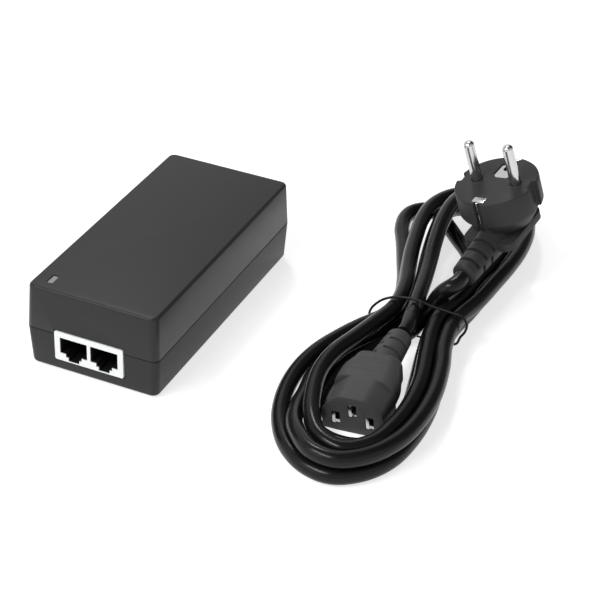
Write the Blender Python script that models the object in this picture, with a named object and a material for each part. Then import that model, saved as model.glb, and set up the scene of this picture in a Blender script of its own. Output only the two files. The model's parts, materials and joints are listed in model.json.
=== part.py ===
"""A mains-powered PoE injector with its detachable lead, for Blender 4.5. Metres, +Z up.

The injector stands on its feet with its jacks at -Y and its mains inlet at +Y. The lead lies beside it on +X,
folded into a hank, with its appliance connector inside the near lobe and its plug on the far one.
"""

import math

import bmesh
import bpy
from mathutils import Matrix, Vector

MM = 0.001
GAP = 0.3 * MM  # between pieces that touch

# Case
CASE_WIDTH = 60 * MM
CASE_LENGTH = 125 * MM
CASE_HEIGHT = 38 * MM
SEAM_HEIGHT = 18.35 * MM
DRAFT = 0.9 * MM  # how far each side leans in from the seam to the top or the bottom
WALL = 2.2 * MM
CORNER_RADIUS = 3.2 * MM
EDGE_RADIUS = 1.6 * MM

# Feet and the screws that they hide
FOOT_RADIUS = 4.5 * MM
FOOT_THICKNESS = 1.4 * MM
FOOT_PROUD = 0.7 * MM
FOOT_INSET = 8.0 * MM  # foot centre from the case's sides
FOOT_END_INSET = 18.0 * MM  # foot centre from the case's ends
BOSS_RADIUS = 3.3 * MM
SCREW_RADIUS = 1.3 * MM
SCREW_HEAD_RADIUS = 2.4 * MM
SCREW_HEAD_HEIGHT = 1.6 * MM
SCREW_REACH = 10 * MM  # above the seam
CLEARANCE = 0.4 * MM

# Board
BOARD_UNDERSIDE = 4.6 * MM
BOARD_THICKNESS = 1.6 * MM
BOARD_MARGIN = 1.2 * MM  # to the inside of the case walls
STANDOFF_RADIUS = 2.6 * MM

# Dual network jack
JACK_WIDTH = 31.3 * MM
JACK_HEIGHT = 13.6 * MM
JACK_DEPTH = 17.0 * MM
JACK_CENTRE_X = -0.9 * MM
JACK_PITCH = 13.97 * MM
JACK_PROUD = 0.3 * MM
SHIELD_THICKNESS = 0.8 * MM
PORT_WIDTH = 12.5 * MM
PORT_HEIGHT = 7.5 * MM
PORT_TOP_MARGIN = 2.6 * MM
PORT_DEPTH = 13.0 * MM
KEY_WIDTH = 7.3 * MM
KEY_HEIGHT = 1.5 * MM
LATCH_WIDTH = 5.0 * MM
LATCH_HEIGHT = 1.6 * MM
CONTACTS_WIDTH = 9.0 * MM
CONTACTS_HEIGHT = 1.2 * MM
CONTACTS_LENGTH = 7.3 * MM

# Mains connector and the inlet that it fits (IEC 60320 C13 and C14)
C13_WIDTH = 24.0 * MM
C13_HEIGHT = 15.8 * MM
C13_CHAMFER = 5.0 * MM
C13_REACH = 17.0 * MM
PIN_SPACING = 14.0 * MM
EARTH_OFFSET = 4.0 * MM
BLADE_THICKNESS = 2.0 * MM
BLADE_HEIGHT = 4.0 * MM
INLET_CLEARANCE = 0.45 * MM
INLET_WALL = 1.6 * MM
INLET_BACK = 2.4 * MM
INLET_CENTRE_Z = 19.0 * MM
INLET_PROUD = 0.3 * MM
BLADE_TAIL = 5.0 * MM

# Status light
LIGHT_X = -21.6 * MM
LIGHT_Y = -53.8 * MM
LIGHT_WIDTH = 2.2 * MM
LIGHT_LENGTH = 5.2 * MM
LIGHT_RECESS = 0.3 * MM

# Lead
CORD_RADIUS = 3.4 * MM
CORD_POINTS = 96
TURN_WEIGHT = 25 * MM  # length that one radian of turning counts as
CORD_SIDES_RESOLUTION = 2
C13_FACE = Vector((107.4, -47.0, 8.9)) * MM
C13_TURN = (math.radians(6.1), math.radians(-3.8), math.radians(3.0))
C13_GRIP_END = 30 * MM
C13_RELIEF_OFFSET = 0.5 * MM  # its axis leans to +X as it leaves the grip
C13_RELIEF_END = (2.4 * MM, 53.5 * MM)
PLUG_FACE = Vector((116.9, 83.3, 51.2)) * MM
PLUG_TURN = (math.radians(11.1), math.radians(-13.0), math.radians(-10.6))
PLUG_RADIUS = 18.5 * MM
PLUG_RIM_DEPTH = 12 * MM
PLUG_LIP_DEPTH = 20 * MM
PLUG_LIP_THICKNESS = 3.6 * MM
PLUG_LIP_HALF_WIDTH = 13 * MM
PLUG_LIP_LOW = -18.5 * MM
PLUG_LIP_HIGH = 14 * MM
PLUG_NECK_RADIUS = 16.4 * MM
PLUG_PIN_SPACING = 19 * MM
PLUG_PIN_RADIUS = 2.4 * MM
PLUG_PIN_LENGTH = 19 * MM
PLUG_PIN_ROOT = 8 * MM
PLUG_RELIEF_DEPTH = 22.5 * MM  # below the face
PLUG_RELIEF_END = 39.5 * MM
EARTH_CLIP_WIDTH = 6 * MM
EARTH_CLIP_LENGTH = 11 * MM
EARTH_CLIP_THICKNESS = 1.0 * MM
EARTH_HOLE_OFFSET = 10 * MM
EARTH_HOLE_RADIUS = 3.0 * MM
EARTH_HOLE_DEPTH = 12 * MM
TIE_RADIUS = 0.55 * MM
TIE_Y = 28.5 * MM

# Millimetres. From the connector's strain relief: four turns of the hank, then up to the plug.
ROUTE = [
    (106.9, 7.2, 14.8), (106.9, 11.8, 15.2), (105.1, 19.0, 14.6), (103.3, 29.0, 13.4), (101.6, 38, 13.4), (98.7, 53, 13.0),
    (95.4, 68, 13.0), (92.4, 82, 14.8), (90.3, 96, 16.8), (89.5, 109, 17.8), (90.6, 120, 17.4),
    (93.3, 127.6, 16.6), (98.4, 131.8, 15.6), (104.4, 132.4, 14.6), (110.4, 129.2, 13.2), (114.6, 122.0, 12.0), (118.4, 108, 10.6),
    (119.6, 95, 10.3), (119.4, 81, 10.2), (118.0, 66, 10.5), (117.2, 50, 11.2), (114.2, 30, 11.6),
    (115.6, 17, 11.2), (119.4, 1, 10.7), (123.6, -16, 10.7), (125.4, -32, 10.6), (124.6, -47.6, 10.2),
    (120.8, -59.6, 9.4), (111.4, -67.0, 8.8), (101.4, -64.4, 9.4), (93.6, -55.0, 10.4), (87.9, -41, 10.6),
    (84.6, -26, 10.8), (85.0, -12, 10.9), (88.4, 2, 10.9), (91.8, 15, 11.3), (94.7, 29, 11.8),
    (92.2, 47, 11.4), (88.4, 60, 10.9), (84.4, 74, 10.9), (80.9, 89, 10.9), (78.2, 104, 10.9),
    (78.2, 118, 10.9), (82.4, 130, 10.4), (90.8, 139.4, 9.2), (101.6, 143.6, 8.2), (112.8, 139.4, 9.2),
    (120.6, 127, 10.6), (125.4, 112.5, 10.8), (127.2, 97, 10.8), (127.0, 82, 10.8), (125.8, 66, 10.8),
    (124.6, 50, 11.2), (121.4, 29, 11.6), (123.4, 12, 11.2), (127.8, -3, 10.8), (131.6, -22, 10.8),
    (132.2, -41, 10.8), (129.8, -56, 10.9), (123.4, -69, 10.9), (113.4, -76.8, 10.9), (102.6, -75.8, 10.9),
    (93.8, -67.8, 9.8), (87.6, -58.2, 7.6), (83.6, -46, 5.0), (82.0, -35, 3.7), (80.1, -22, 3.6),
    (81.6, -7, 3.6), (86.6, 7, 3.6), (91.6, 17, 4.1), (97.2, 29, 4.9), (98.2, 44, 4.2),
    (94.4, 62, 3.6), (90.9, 76, 4.0), (88.0, 89, 5.6), (86.4, 101, 9.0), (86.0, 112, 10.9),
    (88.4, 123.4, 8.6), (94.9, 131.4, 4.8), (103.8, 134.8, 3.6), (112.4, 130.8, 3.6), (118.6, 121.2, 3.6),
    (121.8, 108, 3.6), (122.7, 94, 3.6), (122.4, 79, 3.6), (121.4, 63, 3.6), (120.6, 48, 4.1),
    (119.3, 29, 4.9), (121.8, 12, 4.0), (126.4, -4, 3.6), (130.4, -24, 3.6), (131.0, -44, 3.6),
    (128.4, -60, 3.6), (121.6, -71.6, 3.6), (112, -78, 3.6), (100.6, -76.6, 3.6), (89.4, -68.6, 3.6),
    (80.0, -54.6, 3.6), (74.6, -38.5, 3.6), (72.6, -21, 3.6), (74.4, -4.5, 3.6), (79.4, 11, 3.6),
    (83.4, 19, 4.1), (89.4, 29, 4.9), (91.0, 44, 4.3), (86.6, 61, 3.6), (81.0, 75, 3.6),
    (74.2, 91, 3.6), (68.8, 103, 3.6), (66.8, 112.4, 3.6), (67.9, 118.9, 3.6), (72.4, 123.6, 3.6),
    (78.6, 122.9, 3.6), (85.6, 116.4, 3.6), (94.4, 106.4, 3.6), (102, 98, 3.6), (108.8, 88, 3.6), (112.6, 76, 3.6),
    (113.3, 63, 3.6), (113.2, 49, 4.1), (112.0, 29, 4.9), (114.6, 13, 4.1), (118.2, -3, 3.6),
    (122.0, -20, 3.6), (124.2, -34, 3.6), (123.4, -48.5, 3.6), (114.8, -57.0, 3.6), (103.0, -58.4, 3.6),
    (93.6, -53.0, 3.6), (89.8, -41, 3.6), (87.6, -24, 3.6), (88.6, -8, 3.6), (94.0, 5.5, 3.6),
    (100.2, 16.5, 3.7), (104.2, 26.0, 4.7), (105.6, 35.2, 6.6), (107.9, 38.8, 10.4), (109.7, 39.8, 14.6),
    (112.1, 39.9, 18.2), (114.8, 41.0, 20.6), (116.4, 43.5, 21.6), (117.0, 47.3, 22.4),
]

INNER_TOP = CASE_HEIGHT - WALL
INNER_FLOOR = FOOT_PROUD + WALL
BOARD_TOP = BOARD_UNDERSIDE + BOARD_THICKNESS
SEAT = BOARD_TOP + GAP  # where a component's underside sits
FRONT = -CASE_LENGTH / 2
BACK = CASE_LENGTH / 2
JACK_BOTTOM = SEAT
JACK_FRONT = FRONT - JACK_PROUD
INLET_FACE = BACK + INLET_PROUD


def clear_scene():
    for item in list(bpy.data.objects):
        bpy.data.objects.remove(item, do_unlink=True)


def collection_named(name):
    made = bpy.data.collections.new(name)
    bpy.context.scene.collection.children.link(made)
    return made


clear_scene()
PARTS = collection_named("poe_injector")
CUTTERS = collection_named("cutters")
CUTTERS.hide_render = True


def material(name, colour, roughness, metallic=0.0):
    made = bpy.data.materials.new(name)
    made.use_nodes = True
    shader = made.node_tree.nodes["Principled BSDF"]
    shader.inputs["Base Color"].default_value = (*colour, 1)
    shader.inputs["Roughness"].default_value = roughness
    shader.inputs["Metallic"].default_value = metallic
    return made


CASE_PLASTIC = material("case_plastic", (0.045, 0.046, 0.05), 0.45)
LIGHT_GREY = material("light_grey_plastic", (0.72, 0.73, 0.74), 0.4)
BLACK_PLASTIC = material("black_plastic", (0.015, 0.015, 0.016), 0.4)
CORD_PLASTIC = material("cord_plastic", (0.02, 0.02, 0.022), 0.4)
NICKEL = material("nickel", (0.75, 0.74, 0.72), 0.2, 1.0)
GOLD = material("gold_contacts", (0.9, 0.65, 0.25), 0.25, 1.0)
STEEL = material("steel", (0.5, 0.5, 0.52), 0.35, 1.0)
ALUMINIUM = material("aluminium", (0.7, 0.7, 0.72), 0.4, 1.0)
COPPER = material("copper", (0.75, 0.35, 0.2), 0.3, 1.0)
FERRITE = material("ferrite", (0.06, 0.06, 0.065), 0.7)
RUBBER = material("rubber", (0.02, 0.02, 0.02), 0.85)
BOARD_GREEN = material("board_green", (0.03, 0.2, 0.07), 0.5)
CLEAR = material("clear_plastic", (0.6, 0.65, 0.68), 0.15)
TAPE = material("tape_yellow", (0.75, 0.6, 0.12), 0.5)
SLEEVE = material("capacitor_sleeve", (0.03, 0.05, 0.16), 0.35)
CERAMIC = material("ceramic", (0.1, 0.25, 0.5), 0.45)


def add_object(name, bm, finish, smooth=False):
    mesh = bpy.data.meshes.new(name)
    bmesh.ops.recalc_face_normals(bm, faces=bm.faces)
    bm.to_mesh(mesh)
    bm.free()
    mesh.materials.append(finish)
    if smooth:
        mesh.shade_smooth()
        mesh.set_sharp_from_angle(angle=math.radians(35))
    made = bpy.data.objects.new(name, mesh)
    PARTS.objects.link(made)
    return made


def cube_mesh(low, high):
    """A bmesh box between two corners."""
    bm = bmesh.new()
    bmesh.ops.create_cube(bm, size=1)
    size = [high[i] - low[i] for i in range(3)]
    centre = [(high[i] + low[i]) / 2 for i in range(3)]
    bmesh.ops.scale(bm, vec=size, verts=bm.verts)
    bmesh.ops.translate(bm, vec=centre, verts=bm.verts)
    return bm


def round_edges(bm, edges, radius, segments=2):
    bmesh.ops.bevel(bm, geom=list(edges), offset=radius, segments=segments, affect="EDGES", profile=0.5)


def upright_edges(bm, axis=2):
    return [e for e in bm.edges if abs((e.verts[1].co - e.verts[0].co).normalized()[axis]) > 0.9]


def block(name, low, high, finish, radius=0.0, axis=2):
    """A box, with its four edges along axis rounded where radius is given."""
    bm = cube_mesh(low, high)
    if radius:
        round_edges(bm, upright_edges(bm, axis), radius)
    return add_object(name, bm, finish)


def centred_block(name, centre, size, finish, radius=0.0):
    low = [centre[i] - size[i] / 2 for i in range(3)]
    high = [centre[i] + size[i] / 2 for i in range(3)]
    return block(name, low, high, finish, radius)


def rod(name, start, end, radius, finish, sides=20, end_radius=None):
    """A cylinder or cone from start to end."""
    start, end = Vector(start), Vector(end)
    bm = bmesh.new()
    bmesh.ops.create_cone(
        bm,
        cap_ends=True,
        segments=sides,
        radius1=radius,
        radius2=radius if end_radius is None else end_radius,
        depth=(end - start).length,
    )
    turn = (end - start).to_track_quat("Z", "Y").to_matrix().to_4x4()
    bmesh.ops.transform(bm, matrix=Matrix.Translation((start + end) / 2) @ turn, verts=bm.verts)
    return add_object(name, bm, finish, smooth=True)


def combine(target, helper, operation):
    """Cuts, joins or trims target with helper, which then stays out of the model."""
    PARTS.objects.unlink(helper)
    CUTTERS.objects.link(helper)
    helper.hide_render = True
    helper.display_type = "WIRE"
    change = target.modifiers.new(helper.name, "BOOLEAN")
    change.operation = operation
    change.object = helper
    change.solver = "EXACT"


def cut(target, *helpers):
    for helper in helpers:
        combine(target, helper, "DIFFERENCE")


def join(target, *helpers):
    for helper in helpers:
        combine(target, helper, "UNION")


def shell_form(name, seam_z, end_z, width, length, lean, corner, edge, finish):
    """A tapered tray form from the seam to its closed end, with rounded corners and end edge."""
    bm = cube_mesh((-width / 2, -length / 2, min(seam_z, end_z)), (width / 2, length / 2, max(seam_z, end_z)))
    for vert in bm.verts:
        if abs(vert.co.z - end_z) < abs(vert.co.z - seam_z):
            vert.co.x *= (width / 2 - lean) / (width / 2)
            vert.co.y *= (length / 2 - lean) / (length / 2)
    round_edges(bm, upright_edges(bm), corner, 4)
    if edge:
        rim = [e for e in bm.edges if all(abs(v.co.z - end_z) < 1e-6 for v in e.verts)]
        round_edges(bm, rim, edge, 3)
    return add_object(name, bm, finish, smooth=True)


def boss_places():
    """Foot, screw and boss centres, from the -X, -Y corner round."""
    x = CASE_WIDTH / 2 - FOOT_INSET
    y = CASE_LENGTH / 2 - FOOT_END_INSET
    return [(-x, -y), (x, -y), (x, y), (-x, y)]


def jack_opening(name):
    """Clears the jack through the front walls of both covers."""
    half = JACK_WIDTH / 2 + GAP
    low = (JACK_CENTRE_X - half, FRONT - 2 * MM, JACK_BOTTOM - GAP)
    high = (JACK_CENTRE_X + half, FRONT + WALL + 2 * MM, JACK_BOTTOM + JACK_HEIGHT + GAP)
    return block(name, low, high, CASE_PLASTIC)


def inlet_size():
    """Outside width and height of the inlet housing."""
    extra = 2 * (INLET_CLEARANCE + INLET_WALL)
    return C13_WIDTH + extra, C13_HEIGHT + extra


def inlet_opening(name):
    width, height = inlet_size()
    low = (-width / 2 - GAP, BACK - WALL - 2 * MM, INLET_CENTRE_Z - height / 2 - GAP)
    high = (width / 2 + GAP, BACK + 2 * MM, INLET_CENTRE_Z + height / 2 + GAP)
    return block(name, low, high, CASE_PLASTIC)


def make_top_cover():
    start = SEAM_HEIGHT + GAP / 2
    cover = shell_form(
        "top_cover", start, CASE_HEIGHT, CASE_WIDTH, CASE_LENGTH, DRAFT, CORNER_RADIUS, EDGE_RADIUS, CASE_PLASTIC
    )
    hollow = shell_form(
        "top_hollow", start - MM, INNER_TOP, CASE_WIDTH - 2 * WALL, CASE_LENGTH - 2 * WALL, DRAFT, MM, 0, CASE_PLASTIC
    )
    cut(cover, hollow)
    for index, (x, y) in enumerate(boss_places()):
        join(cover, rod(f"top_boss_{index}", (x, y, start), (x, y, INNER_TOP + MM), BOSS_RADIUS, CASE_PLASTIC))
    for index, (x, y) in enumerate(boss_places()):
        top = SEAM_HEIGHT + SCREW_REACH + MM
        cut(cover, rod(f"pilot_{index}", (x, y, start - MM), (x, y, top), SCREW_RADIUS + GAP, CASE_PLASTIC))
    cut(cover, jack_opening("top_jack_opening"), inlet_opening("top_inlet_opening"))
    window = (LIGHT_WIDTH + 2 * GAP, LIGHT_LENGTH + 2 * GAP, 6 * MM)
    cut(cover, centred_block("light_window", (LIGHT_X, LIGHT_Y, CASE_HEIGHT), window, CASE_PLASTIC))
    return cover


def make_bottom_cover():
    end = SEAM_HEIGHT - GAP / 2
    cover = shell_form(
        "bottom_cover", end, FOOT_PROUD, CASE_WIDTH, CASE_LENGTH, DRAFT, CORNER_RADIUS, EDGE_RADIUS, CASE_PLASTIC
    )
    hollow = shell_form(
        "bottom_hollow", end + MM, INNER_FLOOR, CASE_WIDTH - 2 * WALL, CASE_LENGTH - 2 * WALL, DRAFT, MM, 0,
        CASE_PLASTIC,
    )
    cut(cover, hollow)
    recess = FOOT_THICKNESS - FOOT_PROUD + GAP
    for index, (x, y) in enumerate(boss_places()):
        join(cover, rod(f"bottom_boss_{index}", (x, y, INNER_FLOOR - MM), (x, y, end), BOSS_RADIUS, CASE_PLASTIC))
        low = FOOT_PROUD - MM
        roof = FOOT_PROUD + recess
        cut(cover, rod(f"foot_recess_{index}", (x, y, low), (x, y, roof), FOOT_RADIUS + GAP, CASE_PLASTIC, 24))
        head = roof + SCREW_HEAD_HEIGHT + 2 * GAP
        cut(cover, rod(f"head_recess_{index}", (x, y, low), (x, y, head), SCREW_HEAD_RADIUS + GAP, CASE_PLASTIC))
        cut(cover, rod(f"screw_way_{index}", (x, y, low), (x, y, end + MM), SCREW_RADIUS + CLEARANCE, CASE_PLASTIC))
    for index, (x, y) in enumerate(standoff_places()):
        top = BOARD_UNDERSIDE - GAP
        post = rod(f"standoff_{index}", (x, y, INNER_FLOOR - MM), (x, y, top), STANDOFF_RADIUS, CASE_PLASTIC)
        join(cover, post)
    cut(cover, jack_opening("bottom_jack_opening"), inlet_opening("bottom_inlet_opening"))
    return cover


def standoff_places():
    x = CASE_WIDTH / 2 - WALL - 6 * MM
    return [(-x, -30 * MM), (x, -30 * MM), (x, 30 * MM), (-x, 30 * MM)]


def make_screws_and_feet():
    head_floor = FOOT_PROUD + FOOT_THICKNESS - FOOT_PROUD + 2 * GAP
    for index, (x, y) in enumerate(boss_places(), 1):
        name = f"cover_screw_{index}"
        head_top = head_floor + SCREW_HEAD_HEIGHT
        screw = rod(name, (x, y, head_floor), (x, y, head_top), SCREW_HEAD_RADIUS, STEEL)
        tip = SEAM_HEIGHT + SCREW_REACH
        join(screw, rod(f"shank_{index}", (x, y, head_top - 0.4 * MM), (x, y, tip), SCREW_RADIUS, STEEL, 12))
        rod(f"rubber_foot_{index}", (x, y, 0), (x, y, FOOT_THICKNESS), FOOT_RADIUS, RUBBER, 24)


def make_board():
    x = CASE_WIDTH / 2 - WALL - BOARD_MARGIN
    y = CASE_LENGTH / 2 - WALL - BOARD_MARGIN
    board = block("main_board", (-x, -y, BOARD_UNDERSIDE), (x, y, BOARD_TOP), BOARD_GREEN, 1.5 * MM)
    for index, (bx, by) in enumerate(boss_places()):
        way = BOSS_RADIUS + 2 * GAP
        cut(board, rod(f"boss_way_{index}", (bx, by, 0), (bx, by, 12 * MM), way, BOARD_GREEN))


def jack_centres():
    return [JACK_CENTRE_X - JACK_PITCH / 2, JACK_CENTRE_X + JACK_PITCH / 2]


def port_roof():
    return JACK_BOTTOM + JACK_HEIGHT - PORT_TOP_MARGIN


def port_cutter(name, centre_x, depth, grow=0.0):
    """The wide opening, the key step and the narrow latch way of one port, as one solid."""
    roof = port_roof() + grow
    floor = port_roof() - PORT_HEIGHT
    front = JACK_FRONT - 3 * MM
    back = JACK_FRONT + depth
    half = PORT_WIDTH / 2 + grow
    main = block(name, (centre_x - half, front, floor - grow), (centre_x + half, back, roof), BLACK_PLASTIC)
    half = KEY_WIDTH / 2 + grow
    step = floor - KEY_HEIGHT
    join(main, block(name + "_key", (centre_x - half, front, step - grow), (centre_x + half, back, roof - MM), NICKEL))
    half = LATCH_WIDTH / 2 + grow
    low = step - LATCH_HEIGHT
    join(main, block(name + "_way", (centre_x - half, front, low - grow), (centre_x + half, back, roof - MM), NICKEL))
    return main


def make_jack():
    """The light-grey front shell and the black housing behind it, with a contact comb in each port."""
    left = JACK_CENTRE_X - JACK_WIDTH / 2
    right = JACK_CENTRE_X + JACK_WIDTH / 2
    top = JACK_BOTTOM + JACK_HEIGHT
    bezel_back = JACK_FRONT + WALL + 1.2 * MM
    frame = block("jack_bezel", (left, JACK_FRONT, JACK_BOTTOM), (right, bezel_back, top), LIGHT_GREY, 0.8 * MM, 1)
    inset = SHIELD_THICKNESS + GAP
    body_front = bezel_back + GAP
    body_back = JACK_FRONT + JACK_DEPTH
    housing = block(
        "jack_housing", (left + inset, body_front, JACK_BOTTOM), (right - inset, body_back, top - inset), BLACK_PLASTIC
    )
    for index, x in enumerate(jack_centres()):
        cut(frame, port_cutter(f"bezel_port_{index}", x, JACK_DEPTH))
        cut(housing, port_cutter(f"port_{index}", x, PORT_DEPTH, 0.1 * MM))
    for side, x in zip(("left", "right"), jack_centres()):
        roof = port_roof() - GAP
        y = body_front + 1.5 * MM
        comb = block(
            f"jack_contacts_{side}",
            (x - CONTACTS_WIDTH / 2, y, roof - CONTACTS_HEIGHT),
            (x + CONTACTS_WIDTH / 2, y + CONTACTS_LENGTH, roof),
            GOLD,
        )
        for slot in range(7):
            sx = x + (slot - 3) * CONTACTS_WIDTH / 7.6
            low = (sx - 0.25 * MM, y - MM, roof - CONTACTS_HEIGHT - MM)
            high = (sx + 0.25 * MM, y + CONTACTS_LENGTH - 2 * MM, roof + MM)
            cut(comb, block(f"comb_slot_{side}_{slot}", low, high, GOLD))


def connector_outline(name, width, height, chamfer, start, end, finish, centre=(0, 0)):
    """The mains connector's section, chamfered at its two upper corners, as a prism along Y."""
    x, z = centre
    bm = cube_mesh((x - width / 2, start, z - height / 2), (x + width / 2, end, z + height / 2))
    upper = [e for e in upright_edges(bm, 1) if e.verts[0].co.z > z]
    round_edges(bm, upper, chamfer, 1)
    lower = [e for e in upright_edges(bm, 1) if e.verts[0].co.z < z - height / 2 + MM]
    round_edges(bm, lower, 0.6 * MM, 1)
    return add_object(name, bm, finish)


def blade_places(centre_z):
    """Live, neutral and earth: the earth is on the chamfered side."""
    low = centre_z - EARTH_OFFSET / 2
    return {
        "live": (PIN_SPACING / 2, low),
        "neutral": (-PIN_SPACING / 2, low),
        "earth": (0.0, low + EARTH_OFFSET),
    }


def make_inlet():
    width, height = inlet_size()
    front = INLET_FACE
    floor = front - C13_REACH - MM
    back = floor - INLET_BACK
    body = connector_outline(
        "inlet_housing", width, height, C13_CHAMFER, back, front, BLACK_PLASTIC, (0, INLET_CENTRE_Z)
    )
    grown = 2 * INLET_CLEARANCE
    cavity = connector_outline(
        "inlet_cavity", C13_WIDTH + grown, C13_HEIGHT + grown, C13_CHAMFER, floor, front + 2 * MM, NICKEL,
        (0, INLET_CENTRE_Z),
    )
    cut(body, cavity)
    for pole, (x, z) in blade_places(INLET_CENTRE_Z).items():
        way = (BLADE_THICKNESS + 2 * GAP, 4 * INLET_BACK, BLADE_HEIGHT + 2 * GAP)
        cut(body, centred_block(f"blade_way_{pole}", (x, floor, z), way, NICKEL))
        size = (BLADE_THICKNESS / 2, BLADE_HEIGHT / 2)
        tip = front - 3 * MM
        tail = back - BLADE_TAIL
        blade = block(
            f"inlet_blade_{pole}", (x - size[0], tail, z - size[1]), (x + size[0], tip, z + size[1]), NICKEL
        )
        blade["tail"] = tail
    post = (8 * MM, 4 * MM)
    low = (-post[0], back + MM, SEAT)
    high = (post[0], back + MM + post[1], INLET_CENTRE_Z - height / 2 + MM)
    join(body, block("inlet_post", low, high, BLACK_PLASTIC))
    return back - BLADE_TAIL


def wire(name, places, radius, finish):
    """A round wire through places, as a mesh."""
    curve = bpy.data.curves.new(name, "CURVE")
    curve.dimensions = "3D"
    curve.bevel_depth = radius
    curve.bevel_resolution = 1
    curve.use_fill_caps = True
    line = curve.splines.new("POLY")
    line.points.add(len(places) - 1)
    for point, place in zip(line.points, places):
        point.co = (*place, 1)
    curve.materials.append(finish)
    made = bpy.data.objects.new(name, curve)
    PARTS.objects.link(made)
    return made


def make_inlet_wires(tail_y):
    """From each blade's tail down to its pad on the board."""
    for pole, (x, z) in blade_places(INLET_CENTRE_Z).items():
        start = tail_y - 1.0 * MM - GAP
        drop = z - 4 * MM if pole == "earth" else z - 3 * MM
        places = [(x, tail_y - GAP, z), (x, start - MM, z), (x, start - 2.5 * MM, drop)]
        places.append((x, start - 2.5 * MM, SEAT))
        wire(f"inlet_wire_{pole}", places, 0.9 * MM, COPPER if pole == "earth" else BLACK_PLASTIC)


def make_mains_filter():
    centred_block("x_capacitor", (17 * MM, 27 * MM, SEAT + 7 * MM), (9 * MM, 17 * MM, 14 * MM), TAPE, 0.8 * MM)
    rod("fuse", (-21 * MM, 17 * MM, SEAT + 3 * MM), (-21 * MM, 37 * MM, SEAT + 3 * MM), 2.9 * MM, CERAMIC, 16)
    rod("varistor", (-12.5 * MM, 22 * MM, SEAT + 5 * MM), (-8.8 * MM, 22 * MM, SEAT + 5 * MM), 5 * MM, CERAMIC)
    core = rod("choke_core", (1 * MM, 17.5 * MM, SEAT + 8 * MM), (1 * MM, 24.5 * MM, SEAT + 8 * MM), 8 * MM, FERRITE)
    bore = rod("choke_bore", (1 * MM, 15 * MM, SEAT + 8 * MM), (1 * MM, 27 * MM, SEAT + 8 * MM), 3.6 * MM, FERRITE)
    cut(core, bore)
    coil = rod("choke_bobbin", (1 * MM, 16 * MM, SEAT + 8 * MM), (1 * MM, 26 * MM, SEAT + 8 * MM), 3.2 * MM, COPPER)
    base = block("choke_base", (-5 * MM, 25 * MM, SEAT), (7 * MM, 27 * MM, SEAT + 9 * MM), COPPER)
    join(coil, base)
    centred_block("bridge_rectifier", (17 * MM, 8 * MM, SEAT + 5 * MM), (4 * MM, 14 * MM, 10 * MM), FERRITE, 0.6 * MM)


def make_primary():
    rod("bulk_capacitor", (-17 * MM, 2 * MM, SEAT), (-17 * MM, 2 * MM, SEAT + 26 * MM), 8.5 * MM, SLEEVE, 28)
    sink = block("primary_heatsink", (23 * MM, -16 * MM, SEAT), (25 * MM, 18 * MM, SEAT + 22 * MM), ALUMINIUM)
    join(sink, block("primary_fin", (20.6 * MM, 14 * MM, SEAT), (23.2 * MM, 18 * MM, SEAT + 22 * MM), ALUMINIUM))
    centred_block("primary_transistor", (20.9 * MM, -4 * MM, SEAT + 8 * MM), (3.6 * MM, 10 * MM, 16 * MM), FERRITE)
    centred_block("pulse_controller", (10 * MM, 3 * MM, SEAT + 1.2 * MM), (6 * MM, 5 * MM, 2.4 * MM), FERRITE)


def make_transformer():
    core = block("transformer_core", (-6 * MM, -18 * MM, SEAT), (16 * MM, -4 * MM, SEAT + 18 * MM), FERRITE)
    hollow = block("core_window", (-2 * MM, -20 * MM, SEAT + 3.5 * MM), (12 * MM, -2 * MM, SEAT + 14.5 * MM), FERRITE)
    cut(core, hollow)
    gap = GAP
    block(
        "transformer_winding",
        (-2 * MM + gap, -21 * MM, SEAT + 3.5 * MM + gap),
        (12 * MM - gap, -1 * MM, SEAT + 14.5 * MM - gap),
        TAPE,
        1.6 * MM,
        1,
    )


def make_secondary():
    sink = block("secondary_heatsink", (-25 * MM, -34 * MM, SEAT), (-23 * MM, -12 * MM, SEAT + 22 * MM), ALUMINIUM)
    join(sink, block("secondary_fin", (-23.2 * MM, -34 * MM, SEAT), (-20.6 * MM, -31 * MM, SEAT + 22 * MM), ALUMINIUM))
    centred_block("output_rectifier", (-20.9 * MM, -22 * MM, SEAT + 8 * MM), (3.6 * MM, 10 * MM, 16 * MM), FERRITE)
    for index, y in enumerate((-22 * MM, -33 * MM), 1):
        place = (-12.5 * MM, y, SEAT)
        rod(f"output_capacitor_{index}", place, (place[0], y, SEAT + 20 * MM), 5 * MM, SLEEVE)
    rod("output_inductor", (0, -28 * MM, SEAT), (0, -28 * MM, SEAT + 10 * MM), 5.2 * MM, FERRITE)
    centred_block("optocoupler", (10 * MM, -24 * MM, SEAT + 1.8 * MM), (6.5 * MM, 4.8 * MM, 3.6 * MM), FERRITE)
    rod("safety_capacitor", (19 * MM, -24 * MM, SEAT + 4.2 * MM), (21.6 * MM, -24 * MM, SEAT + 4.2 * MM), 4.2 * MM, CERAMIC)
    centred_block("data_transformer", (6 * MM, -39 * MM, SEAT + 3 * MM), (13 * MM, 9 * MM, 6 * MM), FERRITE)
    centred_block("power_controller", (17 * MM, -35 * MM, SEAT + 0.9 * MM), (5 * MM, 5 * MM, 1.8 * MM), FERRITE)


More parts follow.
